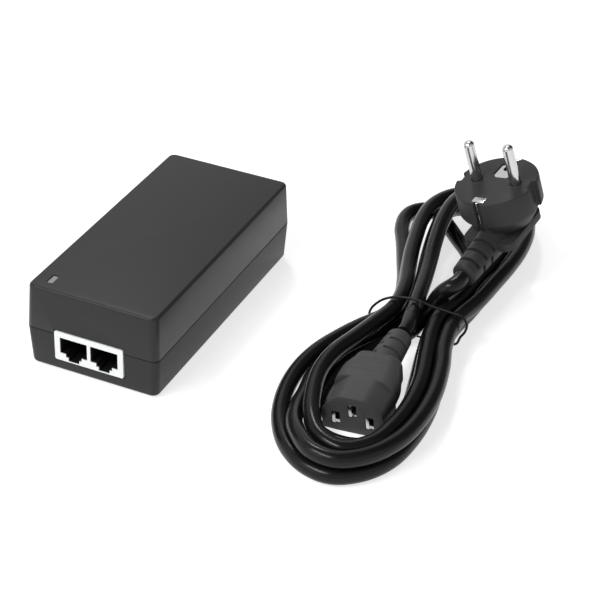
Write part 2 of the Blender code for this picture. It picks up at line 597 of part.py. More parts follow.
def make_light():
    """The light pipe stands in the top cover's window, just above its diode."""
    half = (LIGHT_WIDTH / 2, LIGHT_LENGTH / 2)
    diode_top = SEAT + 1.6 * MM
    centred_block("status_diode", (LIGHT_X, LIGHT_Y, SEAT + 0.8 * MM), (1.6 * MM, 3.2 * MM, 1.6 * MM), CLEAR)
    low = (LIGHT_X - half[0], LIGHT_Y - half[1], INNER_TOP - 3 * MM)
    high = (LIGHT_X + half[0], LIGHT_Y + half[1], CASE_HEIGHT - LIGHT_RECESS)
    pipe = block("light_pipe", low, high, CLEAR)
    leg_low = (LIGHT_X - 0.8 * MM, LIGHT_Y - 1.6 * MM, diode_top + GAP)
    leg_high = (LIGHT_X + 0.8 * MM, LIGHT_Y + 1.6 * MM, INNER_TOP - 2 * MM)
    join(pipe, block("pipe_leg", leg_low, leg_high, CLEAR))


def smooth_route(places, steps):
    """Points of a centripetal Catmull-Rom curve through places, with steps to each stretch."""
    places = [Vector(p) * MM for p in places]
    ends = [2 * places[0] - places[1], *places, 2 * places[-1] - places[-2]]
    found = []
    for a, b, c, d in zip(ends, ends[1:], ends[2:], ends[3:]):
        t1 = (b - a).length ** 0.5
        t2 = t1 + (c - b).length ** 0.5
        t3 = t2 + (d - c).length ** 0.5
        for step in range(steps):
            t = t1 + (t2 - t1) * step / steps
            ab = a.lerp(b, t / t1)
            bc = b.lerp(c, (t - t1) / (t2 - t1))
            cd = c.lerp(d, (t - t2) / (t3 - t2))
            abc = ab.lerp(bc, t / t2)
            bcd = bc.lerp(cd, (t - t1) / (t3 - t1))
            found.append(abc.lerp(bcd, (t - t1) / (t2 - t1)))
    return found + [places[-1]]


def sampled(points, count):
    """That many of the line's points, closer together where it turns more."""
    spent = [0.0]
    for a, b, c in zip(points, points[1:], points[2:]):
        spent.append(spent[-1] + (b - a).length + TURN_WEIGHT * (b - a).angle(c - b))
    spent.append(spent[-1] + (points[-1] - points[-2]).length)
    found = []
    at = 0
    for index in range(count):
        goal = spent[-1] * index / (count - 1)
        while at < len(points) - 2 and spent[at + 1] < goal:
            at += 1
        share = (goal - spent[at]) / (spent[at + 1] - spent[at])
        found.append(points[at].lerp(points[at + 1], min(share, 1.0)))
    return found


def tube(name, points, radius, resolution, finish, cyclic=False):
    curve = bpy.data.curves.new(name, "CURVE")
    curve.dimensions = "3D"
    curve.bevel_depth = radius
    curve.bevel_resolution = resolution
    curve.use_fill_caps = not cyclic
    line = curve.splines.new("POLY")
    line.points.add(len(points) - 1)
    for point, place in zip(line.points, points):
        point.co = (*place, 1)
    line.use_cyclic_u = cyclic
    curve.materials.append(finish)
    made = bpy.data.objects.new(name, curve)
    PARTS.objects.link(made)
    return made


def make_cord():
    points = sampled(smooth_route(ROUTE, 12), CORD_POINTS)
    tube("mains_cord", points, CORD_RADIUS, CORD_SIDES_RESOLUTION, CORD_PLASTIC)


def make_tie():
    """A wire loop round the waist of the hank."""
    outline = [
        (86.6, 0.56), (119.8, 0.56), (123.2, 1.8), (124.6, 5.4), (126.5, 9.0), (126.9, 12.8), (124.5, 15.7), (119.6, 16.2),
        (112.4, 16.7), (103.8, 17.9), (98.4, 17.4), (93.6, 16.4), (90.0, 14.4), (88.2, 10.8), (85.0, 8.4), (83.6, 5.4),
        (84.0, 1.6),
    ]
    tube("cable_tie", [(x * MM, TIE_Y, z * MM) for x, z in outline], TIE_RADIUS, 1, BLACK_PLASTIC, True)


def anchor(name, place, turn):
    empty = bpy.data.objects.new(name, None)
    empty.location = place
    empty.rotation_euler = turn
    PARTS.objects.link(empty)
    return empty


def mount_on(empty, *pieces):
    for piece in pieces:
        piece.parent = empty


def make_connector():
    """The appliance connector, modelled with its face at y=0 and its cord end at +Y."""
    body = connector_outline("c13_connector", C13_WIDTH, C13_HEIGHT, C13_CHAMFER, 0, C13_REACH + 2 * MM, CORD_PLASTIC)
    grip = cube_mesh((-12.5 * MM, C13_REACH, -8.1 * MM), (12.5 * MM, C13_GRIP_END, 8.1 * MM))
    for vert in grip.verts:
        if vert.co.y > C13_REACH + MM:
            vert.co.x *= 0.78
            vert.co.z *= 0.92
    round_edges(grip, upright_edges(grip, 1), 4.2 * MM, 3)
    join(body, add_object("c13_grip", grip, CORD_PLASTIC))
    start = (C13_RELIEF_OFFSET, C13_GRIP_END - 2 * MM, 0)
    relief = rod("c13_relief", start, (*C13_RELIEF_END, 0), 6.9 * MM, CORD_PLASTIC, 20, 4.9 * MM)
    join(body, relief)
    contacts = []
    for pole, (x, z) in blade_places(0.0).items():
        width = BLADE_THICKNESS + 1.0 * MM
        height = BLADE_HEIGHT + 1.2 * MM
        slot = block(f"slot_{pole}", (x - width / 2, -MM, z - height / 2), (x + width / 2, C13_REACH - MM, z + height / 2), NICKEL)
        cut(body, slot)
        start, end = 2.0 * MM, C13_REACH - MM - GAP
        contact = block(
            f"c13_contact_{pole}",
            (x - width / 2 + GAP, start, z - height / 2 + GAP),
            (x - width / 2 + GAP + 0.4 * MM, end, z + height / 2 - GAP),
            NICKEL,
        )
        low = (x - width / 2 + GAP, start, z - height / 2 + GAP)
        high = (x + width / 2 - GAP, end, z - height / 2 + GAP + 0.4 * MM)
        join(contact, block(f"contact_foot_{pole}", low, high, NICKEL))
        contacts.append(contact)
        mount_on(helper_anchor("c13_anchor"), slot)
    place = helper_anchor("c13_anchor")
    mount_on(place, body, *contacts, *helpers_of(body), *[h for c in contacts for h in helpers_of(c)])


def helper_anchor(name):
    if name not in bpy.data.objects:
        places = {"c13_anchor": (C13_FACE, C13_TURN), "plug_anchor": (PLUG_FACE, PLUG_TURN)}
        anchor(name, *places[name])
    return bpy.data.objects[name]


def helpers_of(piece):
    """The objects that a piece is cut or joined with."""
    return [change.object for change in piece.modifiers if change.type == "BOOLEAN"]


def make_plug():
    """The mains plug, modelled with its face at z=0, its pins along +Z and its cord leaving along -Y."""
    body = rod("plug_body", (0, 0, -PLUG_RIM_DEPTH), (0, 0, 0), PLUG_RADIUS, CORD_PLASTIC, 40)
    neck_start = -PLUG_RIM_DEPTH + 1.0 * MM
    lip = -PLUG_LIP_DEPTH
    neck = rod("plug_neck", (0, 0, neck_start), (0, -2 * MM, lip - MM), PLUG_NECK_RADIUS, CORD_PLASTIC, 28, 12.2 * MM)
    low = (-PLUG_LIP_HALF_WIDTH, PLUG_LIP_LOW, lip - PLUG_LIP_THICKNESS)
    high = (PLUG_LIP_HALF_WIDTH, PLUG_LIP_HIGH, lip)
    base = block("plug_lip", low, high, CORD_PLASTIC, 5 * MM)
    depth = -PLUG_RELIEF_DEPTH
    relief = rod("plug_relief", (0, 4 * MM, depth), (0, -PLUG_RELIEF_END, depth), 7.8 * MM, CORD_PLASTIC, 20, 5.4 * MM)
    join(body, neck, base, relief)
    pieces = [body]
    for side, sign in (("left", -1), ("right", 1)):
        x = sign * PLUG_PIN_SPACING / 2
        root = -PLUG_PIN_ROOT
        cut(body, rod(f"pin_way_{side}", (x, 0, root - GAP), (x, 0, MM), PLUG_PIN_RADIUS + GAP, NICKEL, 24))
        dome = PLUG_PIN_RADIUS * 0.7
        pin = rod(f"plug_pin_{side}", (x, 0, root), (x, 0, PLUG_PIN_LENGTH - dome), PLUG_PIN_RADIUS, NICKEL, 24)
        tip_low = (x, 0, PLUG_PIN_LENGTH - dome - 0.05 * MM)
        tip = rod(f"pin_tip_{side}", tip_low, (x, 0, PLUG_PIN_LENGTH), PLUG_PIN_RADIUS, NICKEL, 24, PLUG_PIN_RADIUS * 0.45)
        join(pin, tip)
        pieces.append(pin)
        notch = (x / abs(x) * (PLUG_RADIUS + 1.2 * MM), 0, 0)
        size = (5.6 * MM, 7.6 * MM, 2 * PLUG_RIM_DEPTH + 4 * MM)
        cut(body, centred_block(f"guide_notch_{side}", notch, size, CORD_PLASTIC))
    for side, sign in (("near", -1), ("far", 1)):
        outer = sign * (PLUG_RADIUS - 0.6 * MM)
        inner = outer - sign * EARTH_CLIP_THICKNESS
        low_y, high_y = sorted((outer, inner))
        half = EARTH_CLIP_WIDTH / 2
        recess_low = (-half - GAP, min(low_y - GAP, sign * 30 * MM), -EARTH_CLIP_LENGTH - GAP)
        recess_high = (half + GAP, max(high_y + GAP, sign * 30 * MM), MM)
        cut(body, block(f"clip_recess_{side}", recess_low, recess_high, NICKEL))
        clip = block(
            f"earth_clip_{side}", (-half, low_y, -EARTH_CLIP_LENGTH), (half, high_y, -0.2 * MM), NICKEL
        )
        pieces.append(clip)
    hole = (0, EARTH_HOLE_OFFSET)
    cut(body, rod("earth_hole", (*hole, -EARTH_HOLE_DEPTH), (*hole, MM), EARTH_HOLE_RADIUS, NICKEL, 20))
    outer = EARTH_HOLE_RADIUS - GAP
    socket_low = -EARTH_HOLE_DEPTH + GAP
    socket = rod("earth_socket", (*hole, socket_low), (*hole, -1.2 * MM), outer, NICKEL, 20)
    bore = rod("socket_bore", (*hole, socket_low + MM), (*hole, MM), outer - 0.5 * MM, NICKEL, 20)
    cut(socket, bore)
    pieces.append(socket)
    place = helper_anchor("plug_anchor")
    for piece in pieces:
        mount_on(place, piece, *helpers_of(piece))


def main():
    make_top_cover()
    make_bottom_cover()
    make_screws_and_feet()
    make_board()
    make_jack()
    make_inlet_wires(make_inlet())
    make_mains_filter()
    make_primary()
    make_transformer()
    make_secondary()
    make_light()
    make_cord()
    make_tie()
    make_connector()
    make_plug()
    bpy.context.view_layer.update()


main()
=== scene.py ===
"""The looks of the PoE injector and its mains lead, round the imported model. Metres, +Z up."""

import json
import math

import bmesh
import bpy
from mathutils import Euler, Matrix, Vector

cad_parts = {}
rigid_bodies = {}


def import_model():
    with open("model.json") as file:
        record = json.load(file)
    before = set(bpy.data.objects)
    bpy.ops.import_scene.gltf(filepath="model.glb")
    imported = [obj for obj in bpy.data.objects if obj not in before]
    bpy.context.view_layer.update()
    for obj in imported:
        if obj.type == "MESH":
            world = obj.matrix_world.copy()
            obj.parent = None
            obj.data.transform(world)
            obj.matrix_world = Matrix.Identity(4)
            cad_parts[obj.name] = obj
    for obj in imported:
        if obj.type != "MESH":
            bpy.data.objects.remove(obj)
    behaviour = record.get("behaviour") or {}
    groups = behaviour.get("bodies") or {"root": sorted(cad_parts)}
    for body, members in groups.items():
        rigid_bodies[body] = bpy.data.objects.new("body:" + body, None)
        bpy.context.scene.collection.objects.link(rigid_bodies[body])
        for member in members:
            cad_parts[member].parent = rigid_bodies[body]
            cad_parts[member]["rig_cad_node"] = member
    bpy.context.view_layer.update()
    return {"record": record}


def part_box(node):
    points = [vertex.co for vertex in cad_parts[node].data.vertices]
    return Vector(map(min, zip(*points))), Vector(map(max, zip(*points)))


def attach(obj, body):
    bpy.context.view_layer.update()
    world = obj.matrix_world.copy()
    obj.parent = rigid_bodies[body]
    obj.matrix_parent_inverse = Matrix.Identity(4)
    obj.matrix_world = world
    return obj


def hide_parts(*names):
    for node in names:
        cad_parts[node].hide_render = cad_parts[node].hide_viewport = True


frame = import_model()

MM = 0.001
TOUCHING = 1e-6  # metres

# Camera
CAMERA_AZIMUTH = math.radians(23.18)
CAMERA_ELEVATION = math.radians(33.27)
CAMERA_ROLL = math.radians(2.32)
CAMERA_DISTANCE = 0.7476
CAMERA_TARGET = Vector((0.0607, 0.0059, 0.018))
CAMERA_LENS = 107.6
CAMERA_SENSOR = 36

# Light. The white studio is dimmer straight overhead and behind to the right. Each dim patch: its direction,
# the cosines at which it starts and is full, and the share of light that it leaves.
SKY_STRENGTH = 0.78
DIM_PATCHES = [
    ((0, 0, 1), 0.55, 0.85, 0.3),
    ((0.41, 0.69, 0.6), 0.72, 0.92, 0.15),
]
# Each softbox: its name, its place and size in metres, and its power in watts.
SOFTBOXES = [
    ("overhead", (-0.42, 0.6, 1.05), (0.2, 0.2), 4.0),
    ("edge", (-0.34, -0.66, 0.95), (0.7, 0.14), 8),
    ("front", (-0.75, -1.0, 0.55), (0.9, 0.5), 1.2),
]
LIGHT_AIM = (0.06, 0.0, 0.0)

# Floor. It glows a little, so that shadows stay faint.
FLOOR_REACH = 3
FLOOR_CELLS = 8
FLOOR_DROP = 0.05 * MM
FLOOR_GLOW = 0.68

# What every surface shares: a fine grain in its bump, and a slow drift in its colour and its roughness
GRAIN_DETAIL = 3
GRAIN_STRENGTH = 0.6
DRIFT_SCALE = 45
DRIFT_DETAIL = 5
DRIFT_LOW, DRIFT_HIGH = 0.3, 0.7  # where most of the drift's noise lies
LEAST_ROUGHNESS = 0.02

# Case
CASE_WIDTH = 60 * MM
CASE_LENGTH = 125 * MM
CASE_HEIGHT = 38 * MM
CASE_FLOOR = 0.7 * MM
SEAM_HEIGHT = 18.35 * MM
SEAM_GAP = 0.3 * MM
DRAFT = 0.9 * MM  # how far each side leans in from the seam to the top or the bottom
WALL = 2.2 * MM
CORNER_RADIUS = 3.2 * MM
EDGE_RADIUS = 1.3 * MM
LIP_RADIUS = 0.22 * MM
INNER_CORNER_RADIUS = 1 * MM
CLEARANCE = 0.3 * MM
REACH = 2 * MM  # how far a cutter goes past what it cuts, where that is not shorter
INLET_CENTRE_Z = 19 * MM
LIGHT_WINDOW_LOW, LIGHT_WINDOW_HIGH = 32 * MM, 42 * MM  # heights of the cut for the light pipe
LIGHT_WINDOW_RADIUS = 0.5 * MM
FOOT_COUNT = 4

# Jack frame
JACK_CORNER_RADIUS = 0.8 * MM
JACK_EDGE_RADIUS = 0.18 * MM
JACK_PITCH = 13.97 * MM
PORT_WIDTH = 12.5 * MM
PORT_HEIGHT = 7.5 * MM
PORT_TOP_MARGIN = 2.6 * MM
KEY_WIDTH = 7.3 * MM
KEY_HEIGHT = 1.5 * MM
LATCH_WIDTH = 5.0 * MM
LATCH_HEIGHT = 1.6 * MM
LINER = 0.3 * MM  # thickness of the black lining of each port
LINER_SETBACK = 0.35 * MM
LINER_GAP = 0.03 * MM

# Appliance connector, with its face at y=0 and its cord end at +Y
C13_FACE = Vector((107.4, -47.0, 8.9)) * MM
C13_TURN = (math.radians(6.1), math.radians(-3.8), math.radians(3.0))
PIN_SPACING = 14.0 * MM
EARTH_OFFSET = 4.6 * MM
SLOT_WIDTH = 3.5 * MM
SLOT_HEIGHT = 6.3 * MM
SLOT_DEPTH = 15.0 * MM
SLOT_RADIUS = 0.3 * MM
# The block's outline, as (x, z) in millimetres
C13_SECTION = [(12.3, 2.0), (5.4, 8.4), (-5.4, 8.4), (-12.3, 2.0), (-12.3, -8.1), (12.3, -8.1)]
C13_BLOCK_LENGTH = 16 * MM
C13_UPPER_RADIUS = 1.6 * MM
C13_LOWER_RADIUS = 0.8 * MM
C13_RIM_RADIUS = 0.5 * MM
C13_EDGE_RADIUS = 0.14 * MM
# The grip's sections, as (y, half width, half height, corner radius) in millimetres
C13_GRIP = [
    (14.0, 12.0, 8.0, 5.6), (14.3, 12.45, 8.4, 5.8), (18.3, 12.5, 8.45, 5.8), (18.5, 12.35, 8.3, 5.8),
    (18.9, 12.35, 8.3, 5.8), (19.1, 12.45, 8.4, 5.8), (21.0, 12.4, 8.4, 5.8), (21.2, 12.25, 8.25, 5.8),
    (21.6, 12.2, 8.25, 5.8), (21.8, 12.3, 8.35, 5.8), (23.5, 12.0, 8.3, 5.7), (25.5, 11.3, 8.15, 5.6),
    (27.5, 10.6, 8.0, 5.4), (29.4, 9.95, 7.85, 5.2), (29.7, 10.1, 8.0, 5.2), (30.6, 9.9, 7.9, 5.1),
    (30.9, 9.5, 7.6, 5.0), (31.4, 9.2, 7.4, 5.0), (31.8, 8.4, 7.0, 5.0),
]
# The grip's centre moves over to the relief's by RELIEF_SHIFT between these places, in millimetres along Y
GRIP_SHIFT_START, GRIP_SHIFT_LENGTH = 24, 6
RELIEF_TURNED_Y = 28 * MM  # where the strain relief's axis starts to lean to +X
RELIEF_SHIFT = 0.5 * MM
RELIEF_LEAN = 0.0745
# A strain relief, in millimetres along Y: where it has sections, where its end starts to round, and its
# taper as two places with the radius at each
C13_RELIEF_PLACES = (28, 29.5, 32, 36, 40, 44, 48, 50.6, 51.2, 51.6, 51.8)
C13_RELIEF_SHOULDER = 50.6
C13_RELIEF_TAPER = ((29, 51), (6.9, 5.2))
# Grooves: their places in millimetres along Y, and the arcs that they run through in degrees
C13_GROOVES = [((37.2, 44.0), [(-65, 100)]), ((33.8, 40.6, 47.2), [(112, 245)])]
C13_GROOVE_SIZE = (1.5 * MM, 1.5 * MM)  # depth and width
ROUND = 0.999  # share of its half width that a round section's corners take

# Connector contacts, in the slots
CONTACT_GAP = 0.1 * MM
CONTACT_SETBACK = 0.2 * MM
CONTACT_FLOOR_SETBACK = 0.3 * MM  # from the wall's front
CONTACT_BACK_GAP = 0.4 * MM
CONTACT_WALL = 1.4 * MM
CONTACT_FLOOR = 2.0 * MM
METAL_EDGE_RADIUS = 0.12 * MM
NODE_EDGE_RADIUS = 0.15 * MM  # of the CAD nodes that stay

# Plug, with its face at z=0, its pins along +Z and its cord leaving along -Y
PLUG_FACE = Vector((116.9, 83.3, 51.2)) * MM
PLUG_TURN = (math.radians(11.1), math.radians(-13.0), math.radians(-10.6))
PLUG_RADIUS = 18.5 * MM
PLUG_PIN_SPACING = 19 * MM
PLUG_PIN_RADIUS = 2.4 * MM
PLUG_PIN_LENGTH = 19 * MM
PLUG_PIN_ROOT = 8 * MM
PLUG_PIN_DOME = 1.8 * MM  # height of a pin's rounded tip
PLUG_PIN_TIP_RADIUS = 0.5 * MM
PLUG_PIN_CENTRE = (0.12, 19.02)  # radius and height of the small flat at a pin's tip, in millimetres
PIN_HOLE_GAP = 0.25 * MM
PIN_HOLE_DEPTH = 8.3 * MM
# Turned outlines, as (radius, z) in millimetres
PLUG_RIM = [
    (17.3, -12.6), (18.1, -12.2), (18.5, -11.4), (18.5, -1.0), (18.4, -0.5), (18.1, -0.15), (17.6, 0),
    (10, 0),
]
PLUG_NECK = [(16.6, -11.8), (16.4, -13), (14.6, -16.5), (12.8, -19.4), (12.2, -20.4)]
PLUG_LIP_LOW, PLUG_LIP_HIGH = Vector((-12.6, -18.5, -23.6)) * MM, Vector((12.6, 12, -20)) * MM
PLUG_LIP_RADIUS = 5 * MM
PLUG_EDGE_RADIUS = 0.22 * MM
PLUG_RELIEF_Z = -22.5 * MM
PLUG_RELIEF_PLACES = (6, 4, -10, -20, -30, -38.4, -39.1, -39.5)
PLUG_RELIEF_SHOULDER = -38.4
PLUG_RELIEF_TAPER = ((4, -39.5), (7.8, 5.4))
PLUG_GROOVES = [
    ((-21.4, -27.8, -34.2), [(12, 128), (192, 308)]),
    ((-24.6, -31.0), [(140, 186), (-40, 6)]),
]
PLUG_GROOVE_SIZE = (1.7 * MM, 1.8 * MM)
# Notches in the rim, at the sides and at the earth clips: half width, depth and corner radius
NOTCH_BOTTOM = -14 * MM
SIDE_NOTCH = (3.1 * MM, 2.5 * MM, 0.8 * MM)
FAR_NOTCH = (3.3 * MM, 2.1 * MM, 0.6 * MM)
NEAR_NOTCH = (1.7 * MM, 2.1 * MM, 0.6 * MM)
# The near clip: a tab in the face, and its leg down the rim
TAB_LOW, TAB_HIGH = Vector((-3.5, -16.4, -0.8)) * MM, Vector((2.4, -12.7, -0.1)) * MM
TAB_LEG_LOW, TAB_LEG_HIGH = Vector((-1.3, -17.2, -11)) * MM, Vector((-0.5, -15.4, -0.4)) * MM
TAB_RADIUS = 0.4 * MM
TAB_SEAT_RADIUS = 0.5 * MM
TAB_GAP = Vector((0.1, 0.1, 0.1)) * MM
# The far clip's profile, as (y, z) in millimetres
FAR_CLIP = [(17.3, -11), (17.3, -6), (17.65, -3), (17.3, -1.0), (16.6, -0.25), (15.8, -0.2)]
FAR_CLIP_HALF_WIDTH = 2.9 * MM
FAR_CLIP_THICKNESS = 0.7 * MM
EARTH_HOLE_Y = 10 * MM
EARTH_HOLE_RADIUS = 3.0 * MM
EARTH_HOLE_DEPTH = 12 * MM
EARTH_MOUTH_RADIUS = 1.7 * MM
EARTH_MOUTH_DEPTH = 8 * MM
EARTH_SLEEVE = [
    (2.65, -11.6), (2.65, -1.3), (2.55, -1.15), (2.3, -1.15), (2.2, -1.3), (2.15, -10.4), (0.1, -10.5),
]
RECESS_DEPTH = 1.2 * MM
EARTH_PLATE_SHRINK = 0.12 * MM
EARTH_PLATE_LOW, EARTH_PLATE_HIGH = -1.18 * MM, -0.55 * MM
# The shallow recess round the earth hole, as (x, y) in millimetres
RECESS = [
    (-3.9, 4.6), (-1.6, 2.5), (3.4, 2.5), (4.8, 4.6), (4.6, 12.2), (2.6, 14.0), (-1.6, 14.0), (-3.7, 12.4),
]

# Lead
CORD_RADIUS = 3.5 * MM
TIE_RADIUS = 0.55 * MM
TIE_Y = 28.5 * MM
TIE_OUTLINE = [  # (x, z) in millimetres
    (86.6, 0.56), (119.8, 0.56), (123.2, 1.8), (124.6, 5.4), (126.5, 9.0), (126.9, 12.8), (124.5, 15.7),
    (119.6, 16.2), (112.4, 16.7), (103.8, 17.9), (98.4, 17.4), (93.6, 16.2), (89.4, 13.9), (86.4, 11.0),
    (84.3, 8.0), (83.4, 5.0), (84.0, 1.6),
]
TWIST_START = Vector((106.0, 28.0, 17.6)) * MM
TWIST_RUN = Vector((1.4, -3.2, -0.4)) * MM
TWIST_TURNS = 2
TWIST_OFFSET = 0.5 * MM  # of each wire from the twist's axis
TWIST_RADIUS = 0.4 * MM
TWIST_STEPS = 20
CURVE_STEPS = 6  # to each stretch of a route
# Millimetres. From the connector's strain relief: four turns of the hank, then up to the plug.
ROUTE = [
    (106.9, 7.2, 14.8), (106.9, 11.8, 15.2), (105.1, 19.0, 14.6), (103.3, 29.0, 13.4), (101.6, 38, 13.4),
    (98.7, 53, 13.0), (95.4, 68, 13.0), (92.4, 82, 14.8), (90.3, 96, 16.8), (89.5, 109, 17.8),
    (90.6, 120, 17.4), (93.3, 127.6, 16.6), (98.4, 131.8, 15.6), (104.4, 132.4, 14.6), (110.4, 129.2, 13.2),
    (114.6, 122.0, 12.0), (118.4, 108, 10.6), (119.6, 95, 10.3), (119.4, 81, 10.2), (118.0, 66, 10.5),
    (117.2, 50, 11.2), (114.2, 30, 11.6), (115.6, 17, 11.2), (119.4, 1, 10.7), (123.6, -16, 10.7),
    (125.4, -32, 10.6), (124.6, -47.6, 10.2), (120.8, -59.6, 9.4), (111.4, -67.0, 8.8), (101.4, -64.4, 9.4),
    (93.6, -55.0, 10.4), (87.9, -41, 10.6), (84.6, -26, 10.8), (85.0, -12, 10.9), (88.4, 2, 10.9),
    (91.8, 15, 11.3), (94.7, 29, 11.8), (92.2, 47, 11.4), (88.4, 60, 10.9), (84.4, 74, 10.9),
    (80.9, 89, 10.9), (78.2, 104, 10.9), (78.2, 118, 10.9), (82.4, 130, 10.4), (90.8, 139.4, 9.2),
    (101.6, 143.6, 8.2), (112.8, 139.4, 9.2), (120.6, 127, 10.6), (125.4, 112.5, 10.8), (127.2, 97, 10.8),
    (127.0, 82, 10.8), (125.8, 66, 10.8), (124.6, 50, 11.2), (121.4, 29, 11.6), (123.4, 12, 11.2),
    (127.8, -3, 10.8), (131.6, -22, 10.8), (132.2, -41, 10.8), (129.8, -56, 10.9), (123.4, -69, 10.9),
    (113.4, -76.8, 10.9), (102.6, -75.8, 10.9), (93.8, -67.8, 9.8), (87.6, -58.2, 7.6), (83.6, -46, 5.0),
    (82.0, -35, 3.7), (80.1, -22, 3.6), (81.6, -7, 3.6), (86.6, 7, 3.6), (91.6, 17, 4.1),
    (97.2, 29, 4.9), (98.2, 44, 4.2), (94.4, 62, 3.6), (90.9, 76, 4.0), (88.0, 89, 5.6),
    (86.4, 101, 9.0), (86.0, 112, 10.9), (88.4, 123.4, 8.6), (94.9, 131.4, 4.8), (103.8, 134.8, 3.6),
    (112.4, 130.8, 3.6), (118.6, 121.2, 3.6), (121.8, 108, 3.6), (122.7, 94, 3.6), (122.4, 79, 3.6),
    (121.4, 63, 3.6), (120.6, 48, 4.1), (119.3, 29, 4.9), (121.8, 12, 4.0), (126.4, -4, 3.6),
    (130.4, -24, 3.6), (131.0, -44, 3.6), (128.4, -60, 3.6), (121.6, -71.6, 3.6), (112, -78, 3.6),
    (100.6, -76.6, 3.6), (89.4, -68.6, 3.6), (80.0, -54.6, 3.6), (74.6, -38.5, 3.6), (72.6, -21, 3.6),
    (74.4, -4.5, 3.6), (79.4, 11, 3.6), (83.4, 19, 4.1), (89.4, 29, 4.9), (91.0, 44, 4.3),
    (86.6, 61, 3.6), (81.0, 75, 3.6), (74.2, 91, 3.6), (68.8, 103, 3.6), (66.8, 112.4, 3.6),
    (67.9, 118.9, 3.6), (72.4, 123.6, 3.6), (78.6, 122.9, 3.6), (85.6, 116.4, 3.6), (94.4, 106.4, 3.6),
    (102, 98, 3.6), (108.8, 88, 3.6), (112.6, 76, 3.6), (113.3, 63, 3.6), (113.2, 49, 4.1),
    (112.0, 29, 4.9), (114.6, 13, 4.1), (118.2, -3, 3.6), (122.0, -20, 3.6), (124.2, -34, 3.6),
    (123.4, -48.5, 3.6), (114.8, -57.0, 3.6), (103.0, -58.4, 3.6), (93.6, -53.0, 3.6), (89.8, -41, 3.6),
    (87.6, -24, 3.6), (88.6, -8, 3.6), (94.0, 5.5, 3.6), (100.2, 16.5, 3.7), (104.2, 26.0, 4.7),
    (105.6, 35.2, 6.6), (107.9, 38.8, 10.4), (109.7, 39.8, 14.6), (112.1, 39.9, 18.2), (114.8, 41.0, 20.6),
    (116.4, 43.5, 21.6), (117.0, 47.3, 22.4),
]


def smooth_route(places, steps, closed=False):
    """Points of a centripetal Catmull-Rom curve through places, with steps to each stretch."""
    places = [Vector(p) * MM for p in places]
    if closed:
        ends = [places[-1], *places, places[0], places[1]]
    else:
        ends = [2 * places[0] - places[1], *places, 2 * places[-1] - places[-2]]
    found = []
    for a, b, c, d in zip(ends, ends[1:], ends[2:], ends[3:]):
        t1 = (b - a).length ** 0.5
        t2 = t1 + (c - b).length ** 0.5
        t3 = t2 + (d - c).length ** 0.5
        for step in range(steps):
            t = t1 + (t2 - t1) * step / steps
            ab = a.lerp(b, t / t1)
            bc = b.lerp(c, (t - t1) / (t2 - t1))
            cd = c.lerp(d, (t - t2) / (t3 - t2))
            abc = ab.lerp(bc, t / t2)
            bcd = bc.lerp(cd, (t - t1) / (t3 - t1))
            found.append(abc.lerp(bcd, (t - t1) / (t2 - t1)))
    return found if closed else found + [places[-1]]


# Camera, light and floor


def make_camera():
    a, e, r = CAMERA_AZIMUTH, CAMERA_ELEVATION, CAMERA_ROLL
    back = Vector((math.sin(a) * math.cos(e), -math.cos(a) * math.cos(e), math.sin(e)))
    side = Vector((math.cos(a), math.sin(a), 0))
    up = back.cross(side)
    right = math.cos(r) * side + math.sin(r) * up
    top = math.cos(r) * up - math.sin(r) * side
    camera = bpy.data.objects.new("camera", bpy.data.cameras.new("camera"))
    camera.data.lens = CAMERA_LENS
    camera.data.sensor_width = CAMERA_SENSOR
    place = Matrix.Translation(CAMERA_TARGET + back * CAMERA_DISTANCE)
    camera.matrix_world = place @ Matrix((right, top, back)).transposed().to_4x4()
    bpy.context.scene.collection.objects.link(camera)
    bpy.context.scene.camera = camera


def softbox(name, place, size, power):
    data = bpy.data.lights.new(name, "AREA")
    data.shape = "RECTANGLE"
    data.size, data.size_y = size
    data.energy = power
    made = bpy.data.objects.new(name, data)
    made.location = place
    made.rotation_euler = (Vector(LIGHT_AIM) - Vector(place)).to_track_quat("-Z", "Y").to_euler()
    bpy.context.scene.collection.objects.link(made)


def dim_patch(tree, way, heading, start, full, left):
    """A factor that falls from 1 to left as the way looked at nears the heading."""
    facing = tree.nodes.new("ShaderNodeVectorMath")
    facing.operation = "DOT_PRODUCT"
    facing.inputs[1].default_value = heading
    tree.links.new(way, facing.inputs[0])
    dim = tree.nodes.new("ShaderNodeMapRange")
    dim.interpolation_type = "SMOOTHSTEP"
    dim.inputs["From Min"].default_value = start
    dim.inputs["From Max"].default_value = full
    dim.inputs["To Min"].default_value = 1
    dim.inputs["To Max"].default_value = left
    tree.links.new(facing.outputs["Value"], dim.inputs["Value"])
    return dim.outputs["Result"]


def make_light():
    world = bpy.data.worlds.new("studio")
    world.use_nodes = True
    tree = world.node_tree
    sky = tree.nodes["Background"]
    sky.inputs["Color"].default_value = (1, 1, 1, 1)
    way = tree.nodes.new("ShaderNodeTexCoord").outputs["Generated"]
    strength = None
    for heading, start, full, left in DIM_PATCHES:
        product = tree.nodes.new("ShaderNodeMath")
        product.operation = "MULTIPLY"
        product.inputs[1].default_value = SKY_STRENGTH
        if strength is not None:
            tree.links.new(strength, product.inputs[1])
        tree.links.new(dim_patch(tree, way, heading, start, full, left), product.inputs[0])
        strength = product.outputs["Value"]
    tree.links.new(strength, sky.inputs["Strength"])
    bpy.context.scene.world = world
    bpy.context.scene.view_settings.view_transform = "Standard"
    for name, place, size, power in SOFTBOXES:
        softbox(name, place, size, power)


